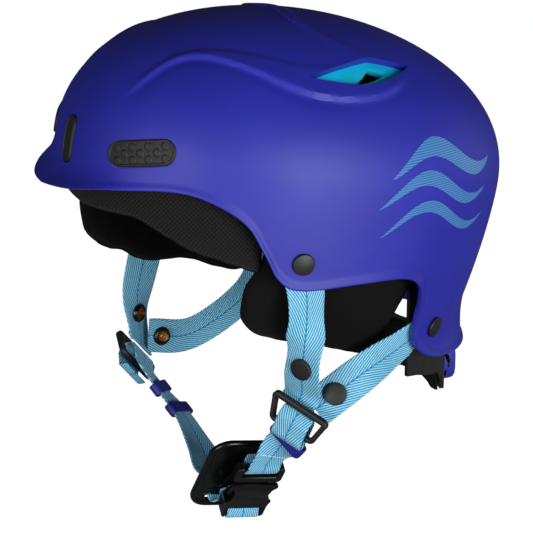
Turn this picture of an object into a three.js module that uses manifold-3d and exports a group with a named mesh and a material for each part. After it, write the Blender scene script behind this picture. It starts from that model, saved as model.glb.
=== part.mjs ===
// A water-sports helmet: hard shell, foam liner, pads, Y-strap harness with a side-release buckle,
// and a nape cradle tightened by a dial. Millimetres, +Z up, +X the wearer's left, -Y the front.
// The origin is the centre of the crown pad's flat face, where the top of the head rests.
import * as THREE from "three";
import { mergeVertices } from "three/addons/utils/BufferGeometryUtils.js";
import Module from "manifold-3d";

const wasm = await Module();
wasm.setup();

// ---- Driving dimensions: the dome, measured from the centre of its widest section ----
const DOME_FRONT = 135.5;
const DOME_BACK = 137;
const DOME_SIDE = 110;
const DOME_TOP = 86;
const DOME_LEAN = -10; // the dome's axis leans back by this many degrees
const PLAN_POWER = 2.04; // superellipse exponent of the plan outline
const CROWN_POWER = 2.2; // superellipse exponent of the crown's section
const SHELL_WALL = 3;
const BRIM_FLARE = 12;
const BRIM_SPAN = 32; // the brim's flare dies out this far round each side
const NAPE_FLARE = 13;
const NAPE_SPAN = 60;
const FLARE_RISE = 14; // the flare starts this far above the lip
const NAPE_RISE = 40; // and this much further above it, where the nape's flare is full
// Lip of the left half: angle from the front in degrees, height over the dome centre.
const LIP = [
  [0, -24],
  [10, -21.5],
  [20, -16],
  [36, -9.5],
  [46, -12],
  [55, -21],
  [61, -36],
  [66, -49.5],
  [73, -54],
  [90, -48.5],
  [106, -45],
  [114, -50],
  [117, -64],
  [118.5, -82],
  [125, -93],
  [138, -97.5],
  [160, -96],
  [180, -92.5],
];
const LIP_STEPS = 23;
const BODY_ROWS = 9;
const FLARE_ROWS = [14, 8, 3.5, 0]; // heights over the lip

// ---- Layers under the shell, as depths below the outer surface ----
const FOAM_TOP = 5.3;
const FOAM_STRAP_GAP = 9.5; // the foam stands back here, so that straps and washers have room
const FOAM_BOTTOM = 22;
const FOAM_EDGE = -34; // the foam ends here at the sides and back
const FOAM_LIP_GAP = 4;
const PAD_THICKNESS = 8;
const BROW_END = 56; // the brow pad reaches this far round each side
const BAND_END = 60; // and the temple band this far
const PAD_GAP = 1.4;
const STRAP_DEPTH = 5.4;

// ---- Crown pad and the frame's origin ----
const CROWN_FACE = 54; // height of the crown pad's face over the dome centre
const CROWN_BACK = 10; // the pad's centre sits this far behind the dome centre
const CROWN_PAD = [39, 46]; // half width and half length

// ---- Webbing and fittings ----
const WEB = 22;
const WEB_THICK = 1.6;
const RIVET_FRONT = [72, -39.5];
const RIVET_REAR = [128.5, -78.5];
const RIVET_HEAD = 6.2;
const SHANK = 2.2;
const SHANK_LENGTH = 10;
const SHANK_HOLE = 2.8;
const WASHER = { radius: 4.2, bore: 2.6, top: -7.5, thick: 1 }; // behind the strap, on the shank
const SNAP_CAP = 6.6;
const DIVIDER_TOP = 38;
const DIVIDER_FOOT = 30;
const DIVIDER_HEIGHT = 19;
const DIVIDER_BAR = 1.9; // bar radius

// ---- Buckle, across x along x thick ----
const BUCKLE_HALF_WIDTH = 14.5;
const BUCKLE_HALF_DEPTH = 4.5;
const BUCKLE_CENTRE = new THREE.Vector3(40, -39.6, -189.8);
const BUCKLE_ACROSS = new THREE.Vector3(0.122, 0.984, -0.131);
const BUCKLE_ALONG = new THREE.Vector3(0.559, 0.041, 0.829);

// ---- Nape cradle: arcs about a vertical axis behind the dome centre ----
const CRADLE_AXIS_Y = 30;
const CRADLE_RADIUS = 75;
const CRADLE_WALL = 2.4;
const DIAL_HEIGHT = -142;
const DIAL_RADIUS = 12;
const RACK_END = 34; // the rack bands reach this far round from the back
const PINION_RADIUS = 5;
const BAND_RADIUS = 78.5;
const BAND_LEVEL = 7.6; // each rack band runs this far over or under the dial's axis
const BAND_HALF_HEIGHT = 1.7;
const LANE_HALF_HEIGHT = 2.2; // the housing's slots for the bands

const ROUND_SIDES = 12;
const GAP = 0.4; // between parts that sit together

const deg = THREE.MathUtils.degToRad;
const at = (x, y, z) => new THREE.Vector3(x, y, z);
const UP = at(0, 0, 1);

// ---- Solids ----
const plain = (geometry) => {
  const bare = geometry.index ? geometry.clone() : geometry;
  bare.deleteAttribute("normal");
  bare.deleteAttribute("uv");
  return mergeVertices(bare, 1e-3);
};

function solid(geometry) {
  const merged = plain(geometry);
  return new wasm.Manifold(
    new wasm.Mesh({
      numProp: 3,
      vertProperties: merged.attributes.position.array,
      triVerts: new Uint32Array(merged.index.array),
    }),
  );
}

function geometryOf(manifold) {
  const { numProp, vertProperties, triVerts } = manifold.getMesh();
  const positions = new Float32Array((vertProperties.length / numProp) * 3);
  for (let i = 0; i < positions.length / 3; i++)
    positions.set(vertProperties.subarray(i * numProp, i * numProp + 3), i * 3);
  return new THREE.BufferGeometry()
    .setAttribute("position", new THREE.BufferAttribute(positions, 3))
    .setIndex(new THREE.BufferAttribute(triVerts, 1));
}

const cut = (body, ...tools) =>
  geometryOf(tools.reduce((rest, tool) => rest.subtract(solid(tool)), solid(body)));
const join = (...pieces) =>
  geometryOf(pieces.slice(1).reduce((sum, piece) => sum.add(solid(piece)), solid(pieces[0])));
const meet = (a, b) => geometryOf(solid(a).intersect(solid(b)));

// A closed surface from rows of points: each row is a ring, and the first and last rings are capped.
function ringSolid(rings) {
  const count = rings[0].length;
  const points = rings.flat();
  const faces = [];
  for (let r = 0; r + 1 < rings.length; r++)
    for (let i = 0; i < count; i++) {
      const [a, b] = [r * count + i, r * count + ((i + 1) % count)];
      faces.push(a, b + count, b, a, a + count, b + count);
    }
  const last = (rings.length - 1) * count;
  for (let i = 1; i + 1 < count; i++) {
    faces.push(0, i, i + 1);
    faces.push(last, last + i + 1, last + i);
  }
  return new THREE.BufferGeometry().setFromPoints(points).setIndex(faces);
}

const box = (sx, sy, sz, x = 0, y = 0, z = 0) =>
  new THREE.BoxGeometry(sx, sy, sz).translate(x, y, z);

// A rounded rectangle in x and y, as a slab between two z heights.
function slab(width, height, radius, low, high) {
  const [w, h] = [width / 2 - radius, height / 2 - radius];
  const outline = new THREE.Shape();
  outline.absarc(w, h, radius, 0, Math.PI / 2);
  outline.absarc(-w, h, radius, Math.PI / 2, Math.PI);
  outline.absarc(-w, -h, radius, Math.PI, 1.5 * Math.PI);
  outline.absarc(w, -h, radius, 1.5 * Math.PI, 2 * Math.PI);
  return prism(outline, low, high, 2);
}

const prism = (outline, low, high, curveSegments = 8) =>
  new THREE.ExtrudeGeometry(outline, {
    depth: high - low,
    bevelEnabled: false,
    curveSegments,
  }).translate(0, 0, low);

// A solid of revolution about z. The profile runs from bottom to top as [radius, height].
const turned = (profile) =>
  new THREE.LatheGeometry(
    profile.map(([r, z]) => new THREE.Vector2(r, z)),
    ROUND_SIDES,
  ).rotateX(Math.PI / 2);

const drum = (radius, low, high) =>
  turned([
    [0, low],
    [radius, low],
    [radius, high],
    [0, high],
  ]);

// Moves a geometry from its own axes to an origin, with its x and y axes along two directions.
function seat(geometry, { origin, x, y }) {
  const yAxis = y.clone().normalize();
  const zAxis = x.clone().cross(yAxis).normalize();
  const basis = new THREE.Matrix4().makeBasis(yAxis.clone().cross(zAxis), yAxis, zAxis);
  return geometry.applyMatrix4(basis.setPosition(origin));
}

// ---- The dome's surface: theta in degrees from the front, height over the dome centre ----
const lean = (p) => p.applyAxisAngle(at(1, 0, 0), deg(DOME_LEAN));

function domePoint(theta, height) {
  const [fx, fy] = [Math.sin(deg(theta)), -Math.cos(deg(theta))];
  const down = Math.max(-height, 0);
  const [front, back] = [Math.max(-fy, 0) ** 2, Math.max(fy, 0) ** 2];
  const tuck =
    0.055 * (down / 90) ** 2 * (1 - front - back) +
    0.237 * (down / 140) ** 1.61 * back +
    0.03 * (down / 60) ** 2 * front;
  const rise = Math.sqrt(Math.max(1 - (Math.max(height, 0) / DOME_TOP) ** CROWN_POWER, 0));
  const long = fy < 0 ? DOME_FRONT : DOME_BACK;
  const plan = (Math.abs(fx) / DOME_SIDE) ** PLAN_POWER + (Math.abs(fy) / long) ** PLAN_POWER;
  const radius = (rise * (1 - tuck)) / plan ** (1 / PLAN_POWER);
  return lean(at(radius * fx, radius * fy, height));
}

function domeNormal(theta, height) {
  const h = Math.min(height, DOME_TOP * 0.998);
  const around = domePoint(theta + 0.05, h).sub(domePoint(theta - 0.05, h));
  const upward = domePoint(theta, h + 0.02).sub(domePoint(theta, h - 0.02));
  return around.cross(upward).normalize();
}

const layerPoint = (theta, height, depth) =>
  domePoint(theta, height).addScaledVector(domeNormal(theta, height), -depth);

// The two edges where the shell turns outward: the brim at the front and the nape at the back.
function flareAt(theta, overLip) {
  const angle = Math.abs(((theta + 540) % 360) - 180);
  const share = (along, span) => Math.cos(deg(Math.min((along / span) * 90, 90)));
  const brim = BRIM_FLARE * share(angle, BRIM_SPAN) ** 2;
  const nape = share(180 - angle, NAPE_SPAN);
  const rise = FLARE_RISE + NAPE_RISE * nape ** 3;
  return (brim + NAPE_FLARE * nape) * Math.max(1 - overLip / rise, 0) ** 2;
}

// Columns round the dome, close together where the lip is steep: [theta, lip height].
const halfLip = new THREE.SplineCurve(LIP.map(([t, h]) => new THREE.Vector2(t, h)))
  .getSpacedPoints(LIP_STEPS)
  .map(({ x, y }) => [x, y]);
const COLUMNS = [
  ...halfLip,
  ...halfLip.slice(1, -1).reverse().map(([t, h]) => [360 - t, h]),
];

function lipHeight(theta) {
  const angle = Math.abs(((theta + 540) % 360) - 180);
  const next = halfLip.findIndex(([t]) => t >= angle);
  if (next < 1) return halfLip[0][1];
  const [[t0, h0], [t1, h1]] = [halfLip[next - 1], halfLip[next]];
  return h0 + ((h1 - h0) * (angle - t0)) / (t1 - t0);
}

// Heights from just under the crown to a lowest height, spaced along the section.
function heightsTo(lowest, rows) {
  const foot =
    lowest > 0
      ? THREE.MathUtils.radToDeg(Math.acos((lowest / DOME_TOP) ** (CROWN_POWER / 2)))
      : 90 - (lowest / DOME_TOP) * 90;
  return Array.from({ length: rows }, (_, i) => {
    const angle = (foot * (i + 1)) / rows;
    return angle < 90
      ? DOME_TOP * Math.cos(deg(angle)) ** (2 / CROWN_POWER)
      : -((angle - 90) / 90) * DOME_TOP;
  });
}

// A bowl between two faces. rows(column) lists heights from the crown down, and face(theta,
// height, column) gives a point.
function bowl(columns, rows, outer, inner) {
  const crown = [outer(0, DOME_TOP), inner(0, DOME_TOP)];
  const points = [];
  const faces = [];
  const add = (p) => points.push(p) - 1;
  const grids = [outer, inner].map((face) =>
    columns.map((column) => rows(column).map((h) => add(face(column[0], h, column[1])))),
  );
  grids.forEach((grid, side) => {
    const pole = add(crown[side]);
    const tri = (a, b, c) => (side ? faces.push(a, c, b) : faces.push(a, b, c));
    grid.forEach((column, i) => {
      const next = grid[(i + 1) % grid.length];
      tri(pole, column[0], next[0]);
      for (let r = 0; r + 1 < column.length; r++) {
        tri(column[r], column[r + 1], next[r + 1]);
        tri(column[r], next[r + 1], next[r]);
      }
    });
  });
  grids[0].forEach((column, i) => {
    const j = (i + 1) % grids[0].length;
    const [a, b] = [column.at(-1), grids[0][j].at(-1)];
    const [c, d] = [grids[1][i].at(-1), grids[1][j].at(-1)];
    faces.push(a, c, d, a, d, b);
  });
  return new THREE.BufferGeometry().setFromPoints(points).setIndex(faces);
}

const evenColumns = (count) =>
  Array.from({ length: count }, (_, i) => [(i * 360) / count, lipHeight((i * 360) / count)]);

// The whole dome filled in, down to a flat cap, at a depth below the outer surface.
function domeCore(depth, { lowest = -30, count = 24, rows: rowCount = 7 } = {}) {
  const columns = evenColumns(count);
  const rows = heightsTo(lowest, rowCount);
  const rings = rows.map((h) => columns.map(([t]) => layerPoint(t, h, depth)));
  const top = layerPoint(0, DOME_TOP, depth);
  const points = [...rings.flat(), top];
  const faces = [];
  for (let i = 0; i < count; i++) {
    const j = (i + 1) % count;
    faces.push(points.length - 1, i, j);
    for (let r = 0; r + 1 < rings.length; r++) {
      const [a, b] = [r * count, (r + 1) * count];
      faces.push(a + i, b + i, b + j, a + i, b + j, a + j);
    }
  }
  const last = (rings.length - 1) * count;
  for (let i = 1; i + 1 < count; i++) faces.push(last, last + i + 1, last + i);
  return new THREE.BufferGeometry().setFromPoints(points).setIndex(faces);
}

// A pad or panel under the shell between two angles, from a top to a bottom height.
function panel({ from, to, steps, rows = 4, top, bottom, outer, inner }) {
  const rings = Array.from({ length: steps + 1 }, (_, i) => {
    const theta = from + ((to - from) * i) / steps;
    const heights = Array.from(
      { length: rows + 1 },
      (_, r) => top(theta) + ((bottom(theta) - top(theta)) * r) / rows,
    );
    const outside = heights.map((h) => layerPoint(theta, h, outer(theta, h)));
    const inside = heights.map((h) => layerPoint(theta, h, inner(theta, h)));
    return [...outside.reverse(), ...inside];
  });
  return ringSolid(rings);
}

function flipped(geometry) {
  const index = geometry.index.array;
  for (let i = 0; i < index.length; i += 3)
    [index[i + 1], index[i + 2]] = [index[i + 2], index[i + 1]];
  return geometry;
}

const smooth = (value, from, to) => THREE.MathUtils.smoothstep(value, from, to);

// ---- Shell, vents and plugs ----

// The frame of a feature on the dome: x round the dome, y up it, z outward.
function domeFrame(theta, height) {
  const normal = domeNormal(theta, height);
  const up = UP.clone().addScaledVector(normal, -UP.dot(normal)).normalize();
  return { origin: domePoint(theta, height), x: up.clone().cross(normal), y: up };
}

const mirrored = (geometry) => flipped(plain(geometry.clone().scale(-1, 1, 1)));
const sided = (geometry, side) => (side > 0 ? geometry : mirrored(geometry));

// The left vent is a leaf drawn in a plane that faces half outward and half up. Its long axis
// runs front to back, and its wide side faces down.
const VENT_CENTRE = at(73, 12, 63);
const VENT_TILT = 45;
const VENT_DEPTH = 8.5;
const VENT_FLOOR = 2.5;
const VENT_WALL = 2.2; // the recess wall's thickness, as growth of the outline
const VENT_FLOOR_LIP = 2; // the insert's growth past the opening
const VENT_FOAM_GROWTH = 3; // the foam's pocket round the vent

function ventOutline(grow) {
  const leaf = new THREE.Shape();
  leaf.moveTo(3.5 + grow * 0.4, -36 - 1.6 * grow);
  leaf.quadraticCurveTo(13 + 1.2 * grow, -12, 12 + 1.2 * grow, 2);
  leaf.quadraticCurveTo(9.5 + grow, 20, -4.9, 37 + 1.8 * grow);
  leaf.quadraticCurveTo(-7.5 - grow, 22, -9.6 - 1.2 * grow, 12);
  leaf.quadraticCurveTo(-5.5 - grow, -4, 3.5 + grow * 0.4, -36 - 1.6 * grow);
  return leaf;
}

function ventHole() {
  const hole = new THREE.Shape();
  hole.moveTo(-4.5, 9);
  hole.quadraticCurveTo(3, 4, 8, -7);
  hole.quadraticCurveTo(8, 9, -2, 22);
  hole.lineTo(-4.5, 9);
  return hole;
}

const ventTool = (outline, low, high) =>
  prism(outline, low, high, 3)
    .rotateY(deg(VENT_TILT))
    .translate(...VENT_CENTRE);

// The recess wall that turns in from the shell round the vent.
function ventWall() {
  const ring = cut(ventTool(ventOutline(VENT_WALL), -30, 30), ventTool(ventOutline(0), -31, 31));
  return meet(ring, cut(domeCore(1.7), domeCore(VENT_DEPTH)));
}

const PLUG_PROUD = 1.1;
const PLUG_SUNK = 1.6;
const PLUG_FIT = 0.35;
const TEMPLE_PLUG = { theta: 25.5, height: 6.5, width: 43, tall: 15, tilt: 8 };
const FRONT_PLUG = { theta: 0, height: 1.5, width: 12, tall: 27, tilt: 0 };
const REAR_PLUG = { theta: 180, height: -40, width: 40, tall: 18, tilt: 0 };

const plugTool = ({ theta, height, width, tall, tilt }, grow) =>
  seat(
    slab(width + 2 * grow, tall + 2 * grow, Math.min(width, tall) / 2 - 0.6 + grow, -12, 12)
      .rotateZ(deg(tilt)),
    domeFrame(theta, height),
  );

const FINE = { lowest: -60, count: 40, rows: 12 };
const plugBody = (plug) =>
  meet(plugTool(plug, 0), cut(domeCore(-PLUG_PROUD, FINE), domeCore(PLUG_SUNK, FINE)));
const plugPocket = (plug) => cut(plugTool(plug, PLUG_FIT), domeCore(PLUG_SUNK + PLUG_FIT, FINE));

const rivetHole = ([theta, height], radius) =>
  seat(drum(radius, -14, 6), domeFrame(theta, height));

function outerShell() {
  const rows = ([, lip]) => [
    ...heightsTo(lip + FLARE_RISE, BODY_ROWS).slice(0, -1),
    ...FLARE_ROWS.map((over) => lip + over),
  ];
  const flared = (theta, height, lip, depth) => {
    const outward = at(Math.sin(deg(theta)), -Math.cos(deg(theta)), 0);
    return layerPoint(theta, height, depth).addScaledVector(
      lean(outward),
      lip === undefined ? 0 : flareAt(theta, height - lip),
    );
  };
  const skin = bowl(
    COLUMNS,
    rows,
    (t, h, lip) => flared(t, h, lip, 0),
    (t, h, lip) => flared(t, h, lip, SHELL_WALL),
  );
  const wall = ventWall();
  const opening = ventTool(ventOutline(0), -30, 30);
  const temple = plugPocket(TEMPLE_PLUG);
  const holes = [RIVET_FRONT, RIVET_REAR].map((place) => rivetHole(place, SHANK_HOLE));
  const tools = [opening, temple, ...holes];
  return cut(
    join(skin, wall, mirrored(wall)),
    ...tools,
    ...tools.map(mirrored),
    plugPocket(FRONT_PLUG),
    plugPocket(REAR_PLUG),
  );
}

const ventInsert = () =>
  cut(
    meet(
      ventTool(ventOutline(VENT_FLOOR_LIP), -30, 30),
      cut(domeCore(VENT_DEPTH + GAP), domeCore(VENT_DEPTH + GAP + VENT_FLOOR)),
    ),
    ventTool(ventHole(), -31, 31),
  );

// ---- Foam and pads ----
const foamEdge = (theta) => Math.max(lipHeight(theta) + FOAM_LIP_GAP, FOAM_EDGE);
const foamTop = (height) =>
  THREE.MathUtils.lerp(FOAM_STRAP_GAP, FOAM_TOP, smooth(height, -20, 6));

function foamLiner() {
  const columns = evenColumns(40);
  const bowlOf = bowl(
    columns,
    ([theta]) => heightsTo(foamEdge(theta), 8),
    (t, h) => layerPoint(t, h, foamTop(h)),
    (t, h) => layerPoint(t, h, FOAM_BOTTOM),
  );
  const pocket = cut(
    ventTool(ventOutline(VENT_FOAM_GROWTH), -30, 30),
    domeCore(VENT_DEPTH + VENT_FLOOR + 1),
  );
  const duct = ventTool(ventHole(), -40, 10);
  const tools = [pocket, duct];
  const bores = [1, -1].map((side) => studBore(side, -2, 14));
  return cut(bowlOf, ...tools, ...tools.map(mirrored), ...bores);
}

function crownPad() {
  const [halfWidth, halfLength] = CROWN_PAD;
  const outline = new THREE.Shape();
  outline.absellipse(0, CROWN_BACK, halfWidth, halfLength, 0, 2 * Math.PI);
  return meet(prism(outline, CROWN_FACE, DOME_TOP, 5), domeCore(FOAM_BOTTOM + PAD_GAP));
}

// The brow pad runs round the front inside the foam and hangs below the brim at the temples.
function browPad() {
  return panel({
    from: -BROW_END,
    to: BROW_END,
    steps: 16,
    rows: 5,
    top: () => 8,
    bottom: (theta) => -30 + 4 * smooth(Math.abs(theta), 20, BROW_END),
    outer: () => FOAM_BOTTOM + PAD_GAP,
    inner: () => FOAM_BOTTOM + PAD_GAP + PAD_THICKNESS,
  });
}

// Edges of the soft parts: angle from the front, height over the dome centre.
const BAND_BOTTOM = [
  [0, -37],
  [10, -35.5],
  [23, -33],
  [32, -40],
  [40, -45.5],
  [50, -48.5],
  [60, -52],
];
const EAR_BOTTOM = {
  left: [
    [58, -82],
    [60, -89],
    [64.5, -93.8],
    [73, -95.6],
    [87, -97.5],
    [101, -101],
    [118, -107],
  ],
  right: [
    [26, -64],
    [30, -71],
    [36, -76.5],
    [42, -79.5],
    [47, -81.5],
    [50, -80],
    [54, -86],
    [64, -90.5],
    [75, -89.5],
    [85, -88.5],
    [95, -93],
    [110, -96],
  ],
};

// The height of an edge at an angle, on straight lines between its points.
function edgeAt(edge, theta) {
  const angle = Math.abs(theta);
  const next = edge.findIndex(([t]) => t >= angle);
  if (next === 0) return edge[0][1];
  if (next < 0) return edge.at(-1)[1];
  const [[t0, h0], [t1, h1]] = [edge[next - 1], edge[next]];
  return h0 + ((h1 - h0) * (angle - t0)) / (t1 - t0);
}

// The temple band continues the foam below the brim, as a soft edge that the brow pad covers.
function templeBand() {
  return panel({
    from: -BAND_END,
    to: BAND_END,
    steps: 20,
    rows: 3,
    top: (theta) => foamEdge(theta) - 2.5,
    bottom: (theta) => edgeAt(BAND_BOTTOM, theta),
    outer: () => 10,
    inner: () => FOAM_BOTTOM - 0.5,
  });
}

const EAR_THICK = 12;
const EAR_DROP = 2.4; // the ear pads start this far under the temple band
const earDepth = (height) => 11.5 + 8.5 * smooth(-height, 40, 92);

// An ear pad hangs under the temple band and, behind the band, from the foam's edge.
function earPad(edge, steps) {
  const front = edge[0][0];
  return panel({
    from: front,
    to: edge.at(-1)[0],
    steps,
    rows: 5,
    top: (theta) => {
      const underBand = Math.min(edgeAt(BAND_BOTTOM, theta) - EAR_DROP, -44);
      const corner = front > BAND_END - 5 ? 12 * (1 - smooth(theta, front, front + 4)) : 0;
      return THREE.MathUtils.lerp(underBand, foamEdge(theta) - 1.5, smooth(theta, 62, 66)) - corner;
    },
    bottom: (theta) => edgeAt(edge, theta),
    outer: (_, height) => earDepth(height),
    inner: (_, height) => earDepth(height) + EAR_THICK,
  });
}

// ---- Rivets and webbing ----

// The section of a strap at a share of its length: x across it, y along it.
function sectionAt({ line, across }, share) {
  const centre = new THREE.CatmullRomCurve3(line, false, "centripetal");
  const turn = new THREE.CatmullRomCurve3(across, false, "centripetal");
  const along = centre.getTangentAt(share);
  const wide = turn.getPoint(share);
  wide.addScaledVector(along, -wide.dot(along)).normalize();
  return { origin: centre.getPointAt(share), x: wide, y: along };
}

// A strap or web: a ribbon along a smooth centre line, its width along the given directions.
function ribbon({ line, across, width = WEB, steps = 14 }) {
  const rings = Array.from({ length: steps + 1 }, (_, i) => {
    const { origin, x, y } = sectionAt({ line, across }, i / steps);
    const thick = x.clone().cross(y).multiplyScalar(WEB_THICK / 2);
    const reach = x.clone().multiplyScalar(width / 2);
    return [
      origin.clone().add(reach).add(thick),
      origin.clone().sub(reach).add(thick),
      origin.clone().sub(reach).sub(thick),
      origin.clone().add(reach).sub(thick),
    ];
  });
  return ringSolid(rings);
}

const STRAP_TAIL = 9; // the front strap ends this far above its rivet
const handed = (side, points) => points.map(([x, y, z]) => at(side * x, y, z));
const strapPoint = (theta, height) => layerPoint(theta, height, STRAP_DEPTH).toArray();

const strapRivet = (place) =>
  seat(
    turned([
      [0, -SHANK_LENGTH],
      [SHANK, -SHANK_LENGTH],
      [SHANK, 0.4],
      [RIVET_HEAD, 0.4],
      [RIVET_HEAD - 0.4, 1.5],
      [RIVET_HEAD * 0.6, 2.6],
      [0, 3],
    ]),
    domeFrame(...place),
  );

function rivetWasher(place) {
  const { radius, bore, top, thick } = WASHER;
  const ring = cut(drum(radius, top - thick, top), drum(bore, top - 2 * thick, top + thick));
  return seat(ring, domeFrame(...place));
}

// Each side's divider hangs where its straps meet. swing turns its top bar down towards the
// back, tilt turns its foot in towards the chin, and turn faces it forward. end is where the rear strap ends, in the
// ring's own axes, snaps are the places of the snaps as shares of each strap, and flat says how
// much of the front strap hangs level before it turns to the ring.
const HARNESS = {
  left: {
    side: 1,
    centre: [86, -34, -131.4],
    swing: 24,
    tilt: 2,
    turn: 55,
    end: [5, -2, -10],
    lay: [-0.5, -0.4, 0.75],
    behind: [-5, 6.6],
    flat: 1,
    snaps: { front: 0.72, rear: 0.85 },
  },
  right: {
    side: -1,
    centre: [86, -57, -145.5],
    swing: 50,
    tilt: 62,
    turn: 0,
    end: [2, 5, -12],
    lay: [0, -0.55, 0.8],
    behind: [-2, 5.3],
    flat: 2,
    snaps: { front: 0.8, rear: 0.93 },
  },
};

function dividerFrame({ side, centre, swing, tilt, turn }) {
  const [s, t] = [deg(swing), deg(tilt)];
  const faced = (x, y, z) => at(x, y, z).applyAxisAngle(UP, -side * deg(turn));
  return {
    origin: at(side * centre[0], centre[1], centre[2]),
    x: faced(0, Math.cos(s), -Math.sin(s)).multiplyScalar(side),
    y: faced(side * Math.sin(t), Math.sin(s) * Math.cos(t), Math.cos(s) * Math.cos(t)),
  };
}

// A point given in a frame's own axes.
function inFrame(frame, x, y, z) {
  const point = new THREE.BufferGeometry().setFromPoints([at(x, y, z)]);
  return new THREE.Vector3().fromBufferAttribute(seat(point, frame).attributes.position, 0);
}

const frameAxis = (frame, x, y, z) => inFrame(frame, x, y, z).sub(frame.origin);

// The ring has a wide top bar for both straps, and a round foot bar for the chin web.
function divider() {
  const side = 3.2;
  const outline = new THREE.Shape();
  const [top, foot, half] = [DIVIDER_TOP / 2, DIVIDER_FOOT / 2, DIVIDER_HEIGHT / 2];
  outline.moveTo(-top + 2, half);
  outline.quadraticCurveTo(-top, half, -top + 0.3, half - 2);
  outline.lineTo(-foot, -half + 1.5);
  outline.lineTo(foot, -half + 1.5);
  outline.lineTo(top - 0.3, half - 2);
  outline.quadraticCurveTo(top, half, top - 2, half);
  const inside = new THREE.Path();
  inside.moveTo(-top + side + 0.6, half - 3.4);
  inside.lineTo(top - side - 0.6, half - 3.4);
  inside.lineTo(foot - side + 0.8, -half - 4);
  inside.lineTo(-foot + side - 0.8, -half - 4);
  const window = prism(new THREE.Shape(inside.getPoints()), -5, 5);
  const ring = cut(prism(outline, -2, 2, 3), window);
  const bar = drum(DIVIDER_BAR, -DIVIDER_FOOT / 2 + 0.4, DIVIDER_FOOT / 2 - 0.4)
    .rotateY(Math.PI / 2)
    .translate(0, -half + DIVIDER_BAR, 0);
  return join(ring, bar);
}

// Where a strap arrives at the divider, just behind or in front of the top bar.
const BAR_TOP = DIVIDER_HEIGHT / 2 - 1.7;

function frontStrap(harness, drop) {
  const { side } = harness;
  const frame = dividerFrame(harness);
  const [theta, height] = RIVET_FRONT;
  const round = domeFrame(theta, height).x;
  const flat = at(0, 1, 0);
  const face = frameAxis(frame, 0, 0, 1);
  const level = new Array(harness.flat).fill(flat);
  const onRing = new Array(4 - harness.flat).fill(
    flat.clone().addScaledVector(face, -flat.dot(face)),
  );
  const lying = at(side * round.x, round.y, round.z);
  return {
    line: [
      ...handed(side, [strapPoint(theta, height + STRAP_TAIL), strapPoint(theta, height)]),
      ...handed(side, drop),
      inFrame(frame, harness.behind[0] * side, BAR_TOP + 4, -harness.behind[1]),
      inFrame(frame, harness.behind[0] * side, BAR_TOP - 1.5, -harness.behind[1]),
    ],
    across: [lying, lying, ...level, ...onRing],
  };
}

function rearStrap(harness, drop) {
  const { side } = harness;
  const [theta, height] = RIVET_REAR;
  const up = domeFrame(theta, height).y;
  const held = at(side * up.x, up.y, up.z);
  const lay = at(side * harness.lay[0], harness.lay[1], harness.lay[2]);
  return {
    line: [
      ...handed(side, [strapPoint(theta + 5, height + 5), strapPoint(theta, height)]),
      ...handed(side, [strapPoint(theta - 6, height - 7.5)]),
      ...handed(side, drop),
      inFrame(dividerFrame(harness), harness.end[0] * side, BAR_TOP + harness.end[1], harness.end[2]),
    ],
    across: [held, held, at(0, -0.5, 0.85), lay, lay],
  };
}

// The frame of a snap at a share of a strap's length, z outward.
function snapFrame(strap, share, side) {
  const { origin, x, y } = sectionAt(strap, share);
  const outward = x.clone().cross(y).x * side > 0;
  return { origin, x: outward ? x : x.negate(), y };
}

const snapCap = () =>
  turned([
    [0, -0.7],
    [SHANK - 0.4, -0.7],
    [SHANK - 0.4, 1.5],
    [SNAP_CAP, 1.5],
    [SNAP_CAP, 2.3],
    [SNAP_CAP - 0.8, 3.1],
    [0, 3.5],
  ]);

const snapSocket = () =>
  cut(
    turned([
      [0, -3.5],
      [5.2, -3.5],
      [5.6, -2.5],
      [5.6, -1.4],
      [0, -1.4],
    ]),
    drum(2.4, -4, -2.3),
  );

// ---- Chin webbing, keepers, buckle and guard plate ----
const CHIN_WEB = 20; // the chin web is a little narrower than the straps
const KEEPER = { length: 8, width: 4.5, thick: 6.6, slotWidth: 1.6, slotThick: 3.8 };
const BUCKLE = { origin: BUCKLE_CENTRE, x: BUCKLE_ACROSS, y: BUCKLE_ALONG };
const FOOT_BAR = -DIVIDER_HEIGHT / 2 + DIVIDER_BAR;

// The web's turn round the divider's foot bar, from the inner side to the outer.
const footTurn = (frame, ease) =>
  [
    [FOOT_BAR - 6, -4.6 - ease],
    [FOOT_BAR, -4.4 - ease],
    [FOOT_BAR + 8, -3.8 - ease],
    [FOOT_BAR + 12, 0],
    [FOOT_BAR + 8, 3.8 + ease],
    [FOOT_BAR, 4.2 + ease],
    [FOOT_BAR - 5, 4 + ease],
    [FOOT_BAR - 8, 1.2],
  ].map(([y, z]) => inFrame(frame, 0, y, z));

function leftWeb() {
  const frame = dividerFrame(HARNESS.left);
  const bar = frameAxis(frame, 1, 0, 0);
  return {
    line: [
      ...[
        [28, -3.3],
        [22, -3.9],
        [15.7, 0],
        [22, 3.9],
        [28, 3.3],
      ].map(([y, z]) => inFrame(BUCKLE, 0, y, z)),
      at(68.5, -36.5, -155.5),
      ...footTurn(frame, 0),
    ],
    across: [BUCKLE_ACROSS, BUCKLE_ACROSS, BUCKLE_ACROSS, bar, bar, bar, bar],
    width: CHIN_WEB,
    steps: 30,
  };
}

const RIGHT_WEB = [
  [-62, -51, -159.5],
  [-49, -43, -172.5],
  [-22, -42, -187],
  [0, -46, -193],
];
const RIGHT_TWIST = [
  [-0.8, 0.56, -0.2],
  [-0.5, 0.85, -0.25],
];

function rightWeb() {
  const frame = dividerFrame(HARNESS.right);
  const bar = frameAxis(frame, -1, 0, 0);
  return {
    line: [
      ...footTurn(frame, 1.6).reverse(),
      ...RIGHT_WEB.map((p) => at(...p)),
      inFrame(BUCKLE, -6, -10, -14.6),
    ],
    across: [bar, bar, ...RIGHT_TWIST.map((p) => at(...p)), BUCKLE_ACROSS, BUCKLE_ACROSS],
    width: CHIN_WEB,
    steps: 28,
  };
}

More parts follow.
